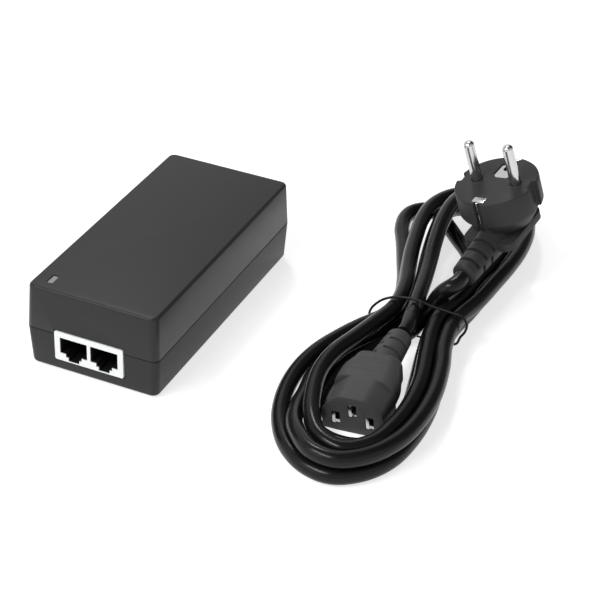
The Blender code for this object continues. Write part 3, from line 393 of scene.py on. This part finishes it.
def make_floor():
    bm = bmesh.new()
    bmesh.ops.create_grid(bm, x_segments=FLOOR_CELLS, y_segments=FLOOR_CELLS, size=FLOOR_REACH)
    mesh = bpy.data.meshes.new("floor")
    bm.to_mesh(mesh)
    bm.free()
    made = bpy.data.objects.new("floor", mesh)
    made.location.z = -FLOOR_DROP
    bpy.context.scene.collection.objects.link(made)
    paper = surface("floor", (0.6, 0.6, 0.6), 0.8, specular=0.1, mottle=0.01, depth=0.02)
    shader = paper.node_tree.nodes["Principled BSDF"]
    shader.inputs["Emission Color"].default_value = (1, 1, 1, 1)
    shader.inputs["Emission Strength"].default_value = FLOOR_GLOW
    mesh.materials.append(paper)


# Materials


def surface(
    name, colour, roughness, metallic=0.0, specular=0.5, grain=1400, depth=0.05, mottle=0.06, spread=0.06,
    stretch=None, clear=0.0,
):
    """A moulded or drawn surface. Its grain is depth millimetres deep, and its colour drifts by mottle."""
    made = bpy.data.materials.new(name)
    made.use_nodes = True
    made.diffuse_color = (*colour, 1)
    tree = made.node_tree
    add = tree.nodes.new
    link = tree.links.new
    shader = tree.nodes["Principled BSDF"]
    shader.inputs["Metallic"].default_value = metallic
    shader.inputs["Specular IOR Level"].default_value = specular
    shader.inputs["Transmission Weight"].default_value = clear
    place = add("ShaderNodeTexCoord").outputs["Object"]
    if stretch:
        mapping = add("ShaderNodeMapping")
        mapping.inputs["Scale"].default_value = stretch
        link(place, mapping.inputs["Vector"])
        place = mapping.outputs["Vector"]
    fine = add("ShaderNodeTexNoise")
    fine.inputs["Scale"].default_value = grain
    fine.inputs["Detail"].default_value = GRAIN_DETAIL
    slow = add("ShaderNodeTexNoise")
    slow.inputs["Scale"].default_value = DRIFT_SCALE
    slow.inputs["Detail"].default_value = DRIFT_DETAIL
    link(place, fine.inputs["Vector"])
    link(place, slow.inputs["Vector"])
    bump = add("ShaderNodeBump")
    bump.inputs["Strength"].default_value = GRAIN_STRENGTH
    bump.inputs["Distance"].default_value = depth * MM
    link(fine.outputs["Fac"], bump.inputs["Height"])
    link(bump.outputs["Normal"], shader.inputs["Normal"])
    tint = add("ShaderNodeMix")
    tint.data_type = "RGBA"
    tint.inputs["A"].default_value = (*[c * (1 - mottle) for c in colour], 1)
    tint.inputs["B"].default_value = (*[min(c * (1 + mottle), 1) for c in colour], 1)
    link(slow.outputs["Fac"], tint.inputs["Factor"])
    link(tint.outputs["Result"], shader.inputs["Base Color"])
    gloss = add("ShaderNodeMapRange")
    gloss.inputs["From Min"].default_value = DRIFT_LOW
    gloss.inputs["From Max"].default_value = DRIFT_HIGH
    gloss.inputs["To Min"].default_value = max(roughness - spread, LEAST_ROUGHNESS)
    gloss.inputs["To Max"].default_value = min(roughness + spread, 1)
    link(slow.outputs["Fac"], gloss.inputs["Value"])
    link(gloss.outputs["Result"], shader.inputs["Roughness"])
    return made


make_camera()
LOOKS = {
    "case_plastic": dict(
        colour=(0.0245, 0.0248, 0.0253), roughness=0.34, specular=0.17, grain=2200, mottle=0.03, spread=0.015
    ),
    "light_grey_plastic": dict(
        colour=(0.72, 0.73, 0.735), roughness=0.42, grain=2000, depth=0.02, mottle=0.02
    ),
    "black_plastic": dict(
        colour=(0.006, 0.006, 0.0065), roughness=0.5, specular=0.25, grain=1800, depth=0.04
    ),
    "cord_plastic": dict(
        colour=(0.006, 0.006, 0.0062), roughness=0.25, specular=0.22, grain=900, depth=0.04, spread=0.03
    ),
    "plug_plastic": dict(colour=(0.032, 0.0322, 0.0324), roughness=0.5, specular=0.14, grain=1600),
    "connector_plastic": dict(colour=(0.06, 0.0603, 0.0606), roughness=0.5, specular=0.14, grain=1600),
    "nickel": dict(colour=(0.6, 0.6, 0.6), roughness=0.2, metallic=1.0, grain=700, depth=0.006, mottle=0.03),
    "gold_contacts": dict(colour=(0.9, 0.66, 0.26), roughness=0.25, metallic=1.0, grain=900, depth=0.006),
    "steel": dict(colour=(0.5, 0.5, 0.52), roughness=0.35, metallic=1.0, grain=900, depth=0.01),
    "aluminium": dict(
        colour=(0.7, 0.7, 0.72), roughness=0.4, metallic=1.0, grain=600, depth=0.02, stretch=(1, 12, 1)
    ),
    "copper": dict(
        colour=(0.75, 0.36, 0.2), roughness=0.32, metallic=1.0, grain=800, depth=0.02, stretch=(1, 1, 6)
    ),
    "ferrite": dict(colour=(0.05, 0.05, 0.055), roughness=0.65, grain=1500, depth=0.08, mottle=0.15),
    "rubber": dict(colour=(0.016, 0.016, 0.016), roughness=0.85, specular=0.3, grain=1200, depth=0.1),
    "board_green": dict(colour=(0.03, 0.2, 0.07), roughness=0.45, grain=500, depth=0.03, mottle=0.12),
    "clear_plastic": dict(colour=(0.34, 0.35, 0.36), roughness=0.3, depth=0.01, mottle=0.03, clear=0.35),
    "tape_yellow": dict(colour=(0.75, 0.6, 0.12), roughness=0.45, grain=300, stretch=(1, 1, 8)),
    "capacitor_sleeve": dict(colour=(0.03, 0.05, 0.16), roughness=0.35, grain=400, depth=0.04),
    "ceramic": dict(colour=(0.1, 0.25, 0.5), roughness=0.4, grain=700, mottle=0.1),
}
FINISHES = {name: surface(name, **look) for name, look in LOOKS.items()}


# Meshes


def dress(made, slot, finish=None):
    """Gives a piece the slot's finish, unless another is named."""
    if made.type == "MESH":
        made.data.shade_smooth()
        made.data.set_sharp_from_angle(angle=math.radians(32))
    made.data.materials.clear()
    made.data.materials.append(FINISHES[finish or slot])


def mesh_object(name, bm):
    mesh = bpy.data.meshes.new(name)
    bmesh.ops.recalc_face_normals(bm, faces=bm.faces)
    bm.to_mesh(mesh)
    bm.free()
    made = bpy.data.objects.new(name, mesh)
    bpy.context.scene.collection.objects.link(made)
    return made


def cube_mesh(low, high):
    bm = bmesh.new()
    bmesh.ops.create_cube(bm, size=1)
    size = [high[i] - low[i] for i in range(3)]
    centre = [(high[i] + low[i]) / 2 for i in range(3)]
    bmesh.ops.scale(bm, vec=size, verts=bm.verts)
    bmesh.ops.translate(bm, vec=centre, verts=bm.verts)
    return bm


def round_edges(bm, edges, radius, segments=2):
    bmesh.ops.bevel(bm, geom=list(edges), offset=radius, segments=segments, affect="EDGES", profile=0.5)


def edges_along(bm, axis):
    return [e for e in bm.edges if abs((e.verts[1].co - e.verts[0].co).normalized()[axis]) > 0.9]


def edges_at(bm, axis, place):
    return [e for e in bm.edges if all(abs(v.co[axis] - place) < TOUCHING for v in e.verts)]


def block(low, high, radius=0.0, axis=2, segments=4):
    """A box between two corners, with the edges along one axis rounded."""
    low, high = [min(a, b) for a, b in zip(low, high)], [max(a, b) for a, b in zip(low, high)]
    bm = cube_mesh(low, high)
    if radius:
        round_edges(bm, edges_along(bm, axis), radius, segments)
    return mesh_object("block", bm)


def loft(name, rings):
    """A closed body through rings of points, each ring the same count."""
    bm = bmesh.new()
    rows = [[bm.verts.new(p) for p in ring] for ring in rings]
    count = len(rows[0])
    for a, b in zip(rows, rows[1:]):
        for i in range(count):
            j = (i + 1) % count
            bm.faces.new((a[i], a[j], b[j], b[i]))
    bm.faces.new(reversed(rows[0]))
    bm.faces.new(rows[-1])
    return mesh_object(name, bm)


def rounded_section(half_x, half_z, radius, steps=8):
    """The outline of a rounded rectangle as (x, z) pairs."""
    found = []
    for quarter, (sx, sz) in enumerate(((1, 1), (-1, 1), (-1, -1), (1, -1))):
        for step in range(steps + 1):
            angle = math.pi / 2 * (quarter + step / steps)
            x = sx * (half_x - radius) + radius * math.cos(angle)
            z = sz * (half_z - radius) + radius * math.sin(angle)
            found.append((x, z))
    return found


def lathe(name, profile, steps=96):
    """Turns (radius, height) pairs about Z."""
    rings = []
    for radius, height in profile:
        angles = [2 * math.pi * i / steps for i in range(steps)]
        rings.append([(radius * math.cos(a), radius * math.sin(a), height) for a in angles])
    return loft(name, rings)


def rod(start, end, radius, steps=48):
    """A cylinder from start to end."""
    start, end = Vector(start), Vector(end)
    made = lathe("rod", [(radius, 0), (radius, (end - start).length)], steps)
    turn = (end - start).to_track_quat("Z", "Y").to_matrix().to_4x4()
    made.data.transform(Matrix.Translation(start) @ turn)
    return made


def arc_slab(centre, radius, depth, first, last, thickness, steps=24):
    """A curved cutter round the Y axis, from angle first to last in degrees, that sinks depth into radius."""
    inner, outer = radius - depth, radius + REACH
    bm = bmesh.new()
    rows = []
    for step in range(steps + 1):
        angle = math.radians(first + (last - first) * step / steps)
        row = []
        for r, share in ((inner, -0.5), (outer, -0.5), (outer, 0.5), (inner, 0.5)):
            x = centre[0] + r * math.cos(angle)
            z = centre[2] + r * math.sin(angle)
            row.append(bm.verts.new((x, centre[1] + share * thickness, z)))
        rows.append(row)
    for a, b in zip(rows, rows[1:]):
        for i in range(4):
            j = (i + 1) % 4
            bm.faces.new((a[i], a[j], b[j], b[i]))
    bm.faces.new(rows[0])
    bm.faces.new(rows[-1])
    return mesh_object("arc", bm)


def settle(made):
    """Applies the object's modifiers to its mesh."""
    bpy.context.view_layer.update()
    graph = bpy.context.evaluated_depsgraph_get()
    mesh = bpy.data.meshes.new_from_object(made.evaluated_get(graph))
    made.modifiers.clear()
    made.data = mesh


def combine(target, operation, helpers):
    for helper in helpers:
        change = target.modifiers.new("change", "BOOLEAN")
        change.operation = operation
        change.object = helper
        change.solver = "EXACT"
    settle(target)
    for helper in helpers:
        bpy.data.objects.remove(helper, do_unlink=True)


def cut(target, *helpers):
    combine(target, "DIFFERENCE", helpers)


def join(target, *helpers):
    combine(target, "UNION", helpers)


def soften(made, width, segments=3, angle=35):
    """Rounds the body's sharp edges. A node from the CAD keeps its mesh and only carries the modifier."""
    change = made.modifiers.new("edges", "BEVEL")
    change.width = width
    change.segments = segments
    change.limit_method = "ANGLE"
    change.angle_limit = math.radians(angle)
    if "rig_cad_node" not in made:
        settle(made)


def put(made, body, slot, place=None, turn=None, replaces=(), finish=None):
    """Moves a piece to its place, dresses it and lets it ride on its body."""
    if place is not None:
        made.data.transform(Matrix.Translation(place) @ Euler(turn).to_matrix().to_4x4())
    dress(made, slot, finish)
    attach(made, body)
    if replaces:
        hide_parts(*replaces)
    return made


# Case


def shell_form(seam_z, end_z, width, length, corner, edge):
    """Half a case from its seam to its end, its sides leaning in, with edge rounding its outer edges."""
    bm = cube_mesh((-width / 2, -length / 2, min(seam_z, end_z)), (width / 2, length / 2, max(seam_z, end_z)))
    for vert in bm.verts:
        if abs(vert.co.z - end_z) < abs(vert.co.z - seam_z):
            vert.co.x *= (width / 2 - DRAFT) / (width / 2)
            vert.co.y *= (length / 2 - DRAFT) / (length / 2)
    round_edges(bm, edges_along(bm, 2), corner, 10)
    if edge:
        round_edges(bm, edges_at(bm, 2, end_z), edge, 6)
        round_edges(bm, edges_at(bm, 2, seam_z), LIP_RADIUS, 2)
    return mesh_object("shell", bm)


def opening(node, low_z):
    """Clears a node through the case's end wall, from the height low_z up."""
    low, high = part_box(node)
    sign = 1 if low[1] > 0 else -1
    inside = sign * (CASE_LENGTH / 2 - WALL - REACH)
    outside = sign * (CASE_LENGTH / 2 + REACH)
    return block(
        (low[0] - CLEARANCE, min(inside, outside), low_z - CLEARANCE),
        (high[0] + CLEARANCE, max(inside, outside), high[2] + CLEARANCE),
    )


def light_window():
    low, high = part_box("light_pipe")
    return block(
        (low[0] - CLEARANCE, low[1] - CLEARANCE, LIGHT_WINDOW_LOW),
        (high[0] + CLEARANCE, high[1] + CLEARANCE, LIGHT_WINDOW_HIGH),
        LIGHT_WINDOW_RADIUS,
    )


def foot_pocket(index):
    low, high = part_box(f"rubber_foot_{index}")
    x, y = (low[0] + high[0]) / 2, (low[1] + high[1]) / 2
    return rod((x, y, -MM), (x, y, high[2] + CLEARANCE), (high[0] - low[0]) / 2 + CLEARANCE)


def make_cover(name, end, sign, node):
    """One half of the case, upward from the seam for sign 1 and downward for sign -1."""
    start = SEAM_HEIGHT + sign * SEAM_GAP / 2
    cover = shell_form(start, end, CASE_WIDTH, CASE_LENGTH, CORNER_RADIUS, EDGE_RADIUS)
    cover.name = name
    width, length = CASE_WIDTH - 2 * WALL, CASE_LENGTH - 2 * WALL
    inner = shell_form(start - sign * MM, end - sign * WALL, width, length, INNER_CORNER_RADIUS, 0)
    jack_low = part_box("jack_bezel")[0][2]
    inlet_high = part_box("inlet_housing")[1][2]
    inlet_low = inlet_high - 2 * (inlet_high - INLET_CENTRE_Z)
    cutters = [inner, opening("jack_bezel", jack_low), opening("inlet_housing", inlet_low)]
    if sign > 0:
        cutters.append(light_window())
    else:
        cutters += [foot_pocket(index) for index in range(1, FOOT_COUNT + 1)]
    cut(cover, *cutters)
    put(cover, "injector", "case_plastic", replaces=(node,))


def make_case():
    make_cover("case_top", CASE_HEIGHT, 1, "top_cover")
    make_cover("case_bottom", CASE_FLOOR, -1, "bottom_cover")


def port_blocks(x, floor, roof, front, back, grown):
    """The stepped shape of one port: its mouth, its key and its latch slot."""
    found = []
    for half, bottom in (
        (PORT_WIDTH / 2, floor),
        (KEY_WIDTH / 2, floor - KEY_HEIGHT),
        (LATCH_WIDTH / 2, floor - KEY_HEIGHT - LATCH_HEIGHT),
    ):
        found.append(block((x - half - grown, front, bottom - grown), (x + half + grown, back, roof + grown)))
    return found


def make_jack_frame():
    """The light frame round both ports, and the black lining of each."""
    low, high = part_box("jack_bezel")
    frame_piece = block(low, high, JACK_CORNER_RADIUS, 1, 5)
    frame_piece.name = "jack_frame"
    middle = (low[0] + high[0]) / 2
    roof = high[2] - PORT_TOP_MARGIN
    floor = roof - PORT_HEIGHT
    front, back = low[1] - REACH, high[1] + REACH
    cutters = []
    for side, name in ((-1, "left"), (1, "right")):
        x = middle + side * JACK_PITCH / 2
        cutters += port_blocks(x, floor, roof, front, back, 0)
        liner, *more = port_blocks(x, floor, roof, low[1] + LINER_SETBACK, high[1], -LINER_GAP)
        join(liner, *more)
        cut(liner, *port_blocks(x, floor, roof, front, back, -LINER))
        liner.name = f"jack_liner_{name}"
        put(liner, "injector", "black_plastic")
    cut(frame_piece, *cutters)
    soften(frame_piece, JACK_EDGE_RADIUS, 3, 50)
    put(frame_piece, "injector", "light_grey_plastic", replaces=("jack_bezel",))


# Lead


def tube(name, lines, radius, slot, closed=False, resolution=4):
    """A round tube along each line of points."""
    curve = bpy.data.curves.new(name, "CURVE")
    curve.dimensions = "3D"
    curve.bevel_depth = radius
    curve.bevel_resolution = resolution
    curve.use_fill_caps = not closed
    for points in lines:
        line = curve.splines.new("POLY")
        line.points.add(len(points) - 1)
        for point, place in zip(line.points, points):
            point.co = (*place, 1)
        line.use_cyclic_u = closed
        line.use_smooth = True
    made = bpy.data.objects.new(name, curve)
    bpy.context.scene.collection.objects.link(made)
    return put(made, "mains_lead", slot)


def make_cord():
    points = smooth_route(ROUTE, CURVE_STEPS)
    cord = tube("lead_cord", [points], CORD_RADIUS, "cord_plastic", resolution=7)
    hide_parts("mains_cord")
    length = sum((b - a).length for a, b in zip(points, points[1:]))
    return cord, points[0], length


def make_tie():
    """The wire round the hank, and its two twisted ends."""
    outline = smooth_route([(x, TIE_Y / MM, z) for x, z in TIE_OUTLINE], CURVE_STEPS, closed=True)
    loop = tube("wire_tie", [outline], TIE_RADIUS, "black_plastic", closed=True)
    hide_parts("cable_tie")
    strands = []
    for phase in (0, math.pi):
        strand = []
        for step in range(TWIST_STEPS + 1):
            share = step / TWIST_STEPS
            turn = phase + share * TWIST_TURNS * 2 * math.pi
            aside = Vector((math.cos(turn), 0, math.sin(turn))) * TWIST_OFFSET
            strand.append(TWIST_START + TWIST_RUN * share + aside)
        strands.append(strand)
    twist = tube("tie_twist", strands, TWIST_RADIUS, "black_plastic")
    return [loop, twist]


def taper(places, radii):
    """A function for the radius at a place along Y, in metres, from two places and radii in millimetres."""

    def radius_at(y):
        share = (y / MM - places[0]) / (places[1] - places[0])
        return (radii[0] + (radii[1] - radii[0]) * share) * MM

    return radius_at


def ribbed(body, axis, radius_at, grooves, size):
    """Cuts staggered rib grooves round a strain relief."""
    cutters = []
    for places, arcs in grooves:
        for y in places:
            for first, last in arcs:
                cutters.append(arc_slab(axis(y * MM), radius_at(y * MM), size[0], first, last, size[1]))
    cut(body, *cutters)


def strain_relief(name, places, shoulder, axis, radius_at):
    """A tapering body through places along Y in millimetres, rounded off past its shoulder."""
    rings = []
    for y in places:
        past = max((y - shoulder) * math.copysign(1, shoulder), 0)
        radius = radius_at(y * MM) - past**2 * MM
        centre = axis(y * MM)
        section = rounded_section(radius, radius, radius * ROUND, 12)
        rings.append([(centre[0] + x, centre[1], centre[2] + z) for x, z in section])
    return loft(name, rings)


def skin(bm, rows):
    """Faces between two rows of points, and over each row."""
    for i, _ in enumerate(rows[0]):
        j = (i + 1) % len(rows[0])
        bm.faces.new((rows[0][i], rows[0][j], rows[1][j], rows[1][i]))
    bm.faces.new(rows[0])
    bm.faces.new(rows[1])


def make_contact(pole, x, z):
    """A tall left wall and a floor, just inside the connector's slot."""
    left, right = x - SLOT_WIDTH / 2 + CONTACT_GAP, x + SLOT_WIDTH / 2 - CONTACT_GAP
    low, high = z - SLOT_HEIGHT / 2 + CONTACT_GAP, z + SLOT_HEIGHT / 2 - CONTACT_GAP
    front, back = CONTACT_SETBACK, SLOT_DEPTH - CONTACT_BACK_GAP
    contact = block((left, front, low), (left + CONTACT_WALL, back, high))
    contact.name = f"connector_contact_{pole}"
    floor = block((left, front + CONTACT_FLOOR_SETBACK, low), (right, back, low + CONTACT_FLOOR))
    join(contact, floor)
    soften(contact, METAL_EDGE_RADIUS, 2)
    return put(contact, "mains_lead", "nickel", C13_FACE, C13_TURN, (f"c13_contact_{pole}",))


def connector_block():
    """The part that goes into an inlet: six-sided, with its chamfers well rounded."""
    bm = bmesh.new()
    skin(bm, [[bm.verts.new((x * MM, y, z * MM)) for x, z in C13_SECTION] for y in (0, C13_BLOCK_LENGTH)])
    upper = [e for e in edges_along(bm, 1) if e.verts[0].co.z > 0]
    round_edges(bm, upper, C13_UPPER_RADIUS, 5)
    floor = C13_SECTION[-1][1] * MM
    lower = [e for e in edges_along(bm, 1) if abs(e.verts[0].co.z - floor) < TOUCHING]
    round_edges(bm, lower, C13_LOWER_RADIUS, 3)
    round_edges(bm, edges_at(bm, 1, 0), C13_RIM_RADIUS, 3)
    return mesh_object("connector_body", bm)


def connector_grip():
    rings = []
    for y, half_x, half_z, radius in C13_GRIP:
        shift = RELIEF_SHIFT * max(y - GRIP_SHIFT_START, 0) / GRIP_SHIFT_LENGTH
        outline = rounded_section(half_x * MM, half_z * MM, radius * MM)
        rings.append([(x + shift, y * MM, z) for x, z in outline])
    return loft("grip", rings)


def connector_axis(y):
    return (RELIEF_SHIFT + RELIEF_LEAN * (y - RELIEF_TURNED_Y), y, 0.0)


def make_connector():
    radius_at = taper(*C13_RELIEF_TAPER)
    relief = strain_relief("relief", C13_RELIEF_PLACES, C13_RELIEF_SHOULDER, connector_axis, radius_at)
    ribbed(relief, connector_axis, radius_at, C13_GROOVES, C13_GROOVE_SIZE)
    body = connector_block()
    join(body, connector_grip(), relief)
    poles = {
        "live": (PIN_SPACING / 2, -EARTH_OFFSET / 2),
        "neutral": (-PIN_SPACING / 2, -EARTH_OFFSET / 2),
        "earth": (0, EARTH_OFFSET / 2),
    }
    slots = []
    for x, z in poles.values():
        low = (x - SLOT_WIDTH / 2, -MM, z - SLOT_HEIGHT / 2)
        high = (x + SLOT_WIDTH / 2, SLOT_DEPTH, z + SLOT_HEIGHT / 2)
        slots.append(block(low, high, SLOT_RADIUS, 1, 2))
    cut(body, *slots)
    soften(body, C13_EDGE_RADIUS, 2, 48)
    put(body, "mains_lead", "cord_plastic", C13_FACE, C13_TURN, ("c13_connector",), "connector_plastic")
    return [body] + [make_contact(pole, x, z) for pole, (x, z) in poles.items()]


def strip(name, profile, half_width, thickness):
    """A bent metal strip: (y, z) pairs, drawn out along X."""
    bm = bmesh.new()
    rows = [[bm.verts.new((x, y * MM, z * MM)) for x in (-half_width, half_width)] for y, z in profile]
    for a, b in zip(rows, rows[1:]):
        bm.faces.new((a[0], a[1], b[1], b[0]))
    made = mesh_object(name, bm)
    change = made.modifiers.new("sheet", "SOLIDIFY")
    change.thickness = thickness
    change.offset = 0
    settle(made)
    soften(made, METAL_EDGE_RADIUS, 2)
    return made


def plate(name, outline, grown, low, high):
    """A flat body between two heights, its (x, y) outline in millimetres grown away from its middle."""
    middle = sum((Vector(p) for p in outline), Vector((0, 0))) / len(outline)
    bm = bmesh.new()
    rows = []
    for z in (low, high):
        row = []
        for p in outline:
            away = Vector(p) - middle
            x, y = Vector(p) * MM + away.normalized() * grown
            row.append(bm.verts.new((x, y, z)))
        rows.append(row)
    skin(bm, rows)
    return mesh_object(name, bm)


def turned(name, profile, steps):
    """Turns (radius, z) pairs in millimetres."""
    return lathe(name, [(radius * MM, z * MM) for radius, z in profile], steps)


def put_on_plug(made, node, slot="nickel", finish=None):
    return put(made, "mains_lead", slot, PLUG_FACE, PLUG_TURN, (node,), finish)


def plug_axis(y):
    return (0.0, y, PLUG_RELIEF_Z)


def plug_cutters():
    """The pin holes, the notches round the rim, the near clip's seat, and the recess with its earth hole."""
    cutters = []
    for sign, clip_notch in ((-1, NEAR_NOTCH), (1, FAR_NOTCH)):
        x = sign * PLUG_PIN_SPACING / 2
        cutters.append(rod((x, 0, -PIN_HOLE_DEPTH), (x, 0, MM), PLUG_PIN_RADIUS + PIN_HOLE_GAP))
        rim = sign * PLUG_RADIUS
        half, depth, radius = SIDE_NOTCH
        cutters.append(block((rim - depth, -half, NOTCH_BOTTOM), (rim + depth, half, REACH), radius))
        half, depth, radius = clip_notch
        cutters.append(block((-half, rim - depth, NOTCH_BOTTOM), (half, rim + depth, REACH), radius))
    cutters.append(block(TAB_LOW - TAB_GAP, TAB_HIGH + TAB_GAP + Vector((0, 0, MM)), TAB_SEAT_RADIUS))
    cutters.append(plate("recess", RECESS, 0.0, -RECESS_DEPTH, MM))
    cutters.append(rod((0, EARTH_HOLE_Y, -EARTH_HOLE_DEPTH), (0, EARTH_HOLE_Y, MM), EARTH_HOLE_RADIUS))
    return cutters


def make_plug_shell():
    body = turned("plug_shell", PLUG_RIM, 120)
    neck = turned("neck", PLUG_NECK, 96)
    lip = block(PLUG_LIP_LOW, PLUG_LIP_HIGH, PLUG_LIP_RADIUS, 2, 8)
    radius_at = taper(*PLUG_RELIEF_TAPER)
    relief = strain_relief("relief", PLUG_RELIEF_PLACES, PLUG_RELIEF_SHOULDER, plug_axis, radius_at)
    ribbed(relief, plug_axis, radius_at, PLUG_GROOVES, PLUG_GROOVE_SIZE)
    join(body, neck, lip, relief)
    cut(body, *plug_cutters())
    soften(body, PLUG_EDGE_RADIUS, 3, 42)
    return put_on_plug(body, "plug_body", "cord_plastic", "plug_plastic")


def make_prong(side, sign):
    """A pin with a domed tip."""
    radius, dome = PLUG_PIN_RADIUS / MM, PLUG_PIN_DOME / MM
    shoulder = PLUG_PIN_LENGTH / MM - dome
    profile = [(radius, -PLUG_PIN_ROOT / MM), (radius, shoulder)]
    for step in range(1, 8):
        angle = math.pi / 2 * step / 7
        inward = (radius - PLUG_PIN_TIP_RADIUS / MM) * (1 - math.cos(angle))
        profile.append((radius - inward, shoulder + dome * math.sin(angle)))
    profile.append(PLUG_PIN_CENTRE)
    pin = turned(f"prong_{side}", profile, 48)
    pin.data.transform(Matrix.Translation((sign * PLUG_PIN_SPACING / 2, 0, 0)))
    return put_on_plug(pin, f"plug_pin_{side}")


def make_near_clip():
    """A tab in the plug's face, with a leg down the groove in its rim."""
    clip = block(TAB_LOW, TAB_HIGH, TAB_RADIUS)
    clip.name = "earth_spring_near"
    join(clip, block(TAB_LEG_LOW, TAB_LEG_HIGH))
    soften(clip, METAL_EDGE_RADIUS, 2)
    return put_on_plug(clip, "earth_clip_near")


def make_earth_sleeve():
    """The earth socket's tube, with the bright plate round its mouth."""
    sleeve = turned("earth_sleeve", EARTH_SLEEVE, 48)
    sleeve.data.transform(Matrix.Translation((0, EARTH_HOLE_Y, 0)))
    join(sleeve, plate("plate", RECESS, -EARTH_PLATE_SHRINK, EARTH_PLATE_LOW, EARTH_PLATE_HIGH))
    cut(sleeve, rod((0, EARTH_HOLE_Y, -EARTH_MOUTH_DEPTH), (0, EARTH_HOLE_Y, MM), EARTH_MOUTH_RADIUS))
    return put_on_plug(sleeve, "earth_socket")


def make_plug():
    pieces = [make_plug_shell(), make_prong("left", -1), make_prong("right", 1)]
    clip = strip("earth_spring_far", FAR_CLIP, FAR_CLIP_HALF_WIDTH, FAR_CLIP_THICKNESS)
    pieces.append(put_on_plug(clip, "earth_clip_far"))
    return pieces + [make_near_clip(), make_earth_sleeve()]


def dress_nodes():
    """The CAD nodes that stay: each takes its slot's finish, with its sharp edges eased."""
    slots = {row["node"]: row["material_slot"] for row in frame["record"]["subparts"]}
    for made in bpy.context.scene.objects:
        node = made.get("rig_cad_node")
        if node is None or made.hide_render:
            continue
        made.data.materials.clear()
        made.data.materials.append(FINISHES[slots[node]])
        soften(made, NODE_EDGE_RADIUS, 2, 40)


def main():
    make_light()
    make_floor()
    cord, start, length = make_cord()
    on_cord = make_tie() + make_connector() + make_plug()
    make_case()
    make_jack_frame()
    dress_nodes()


main()
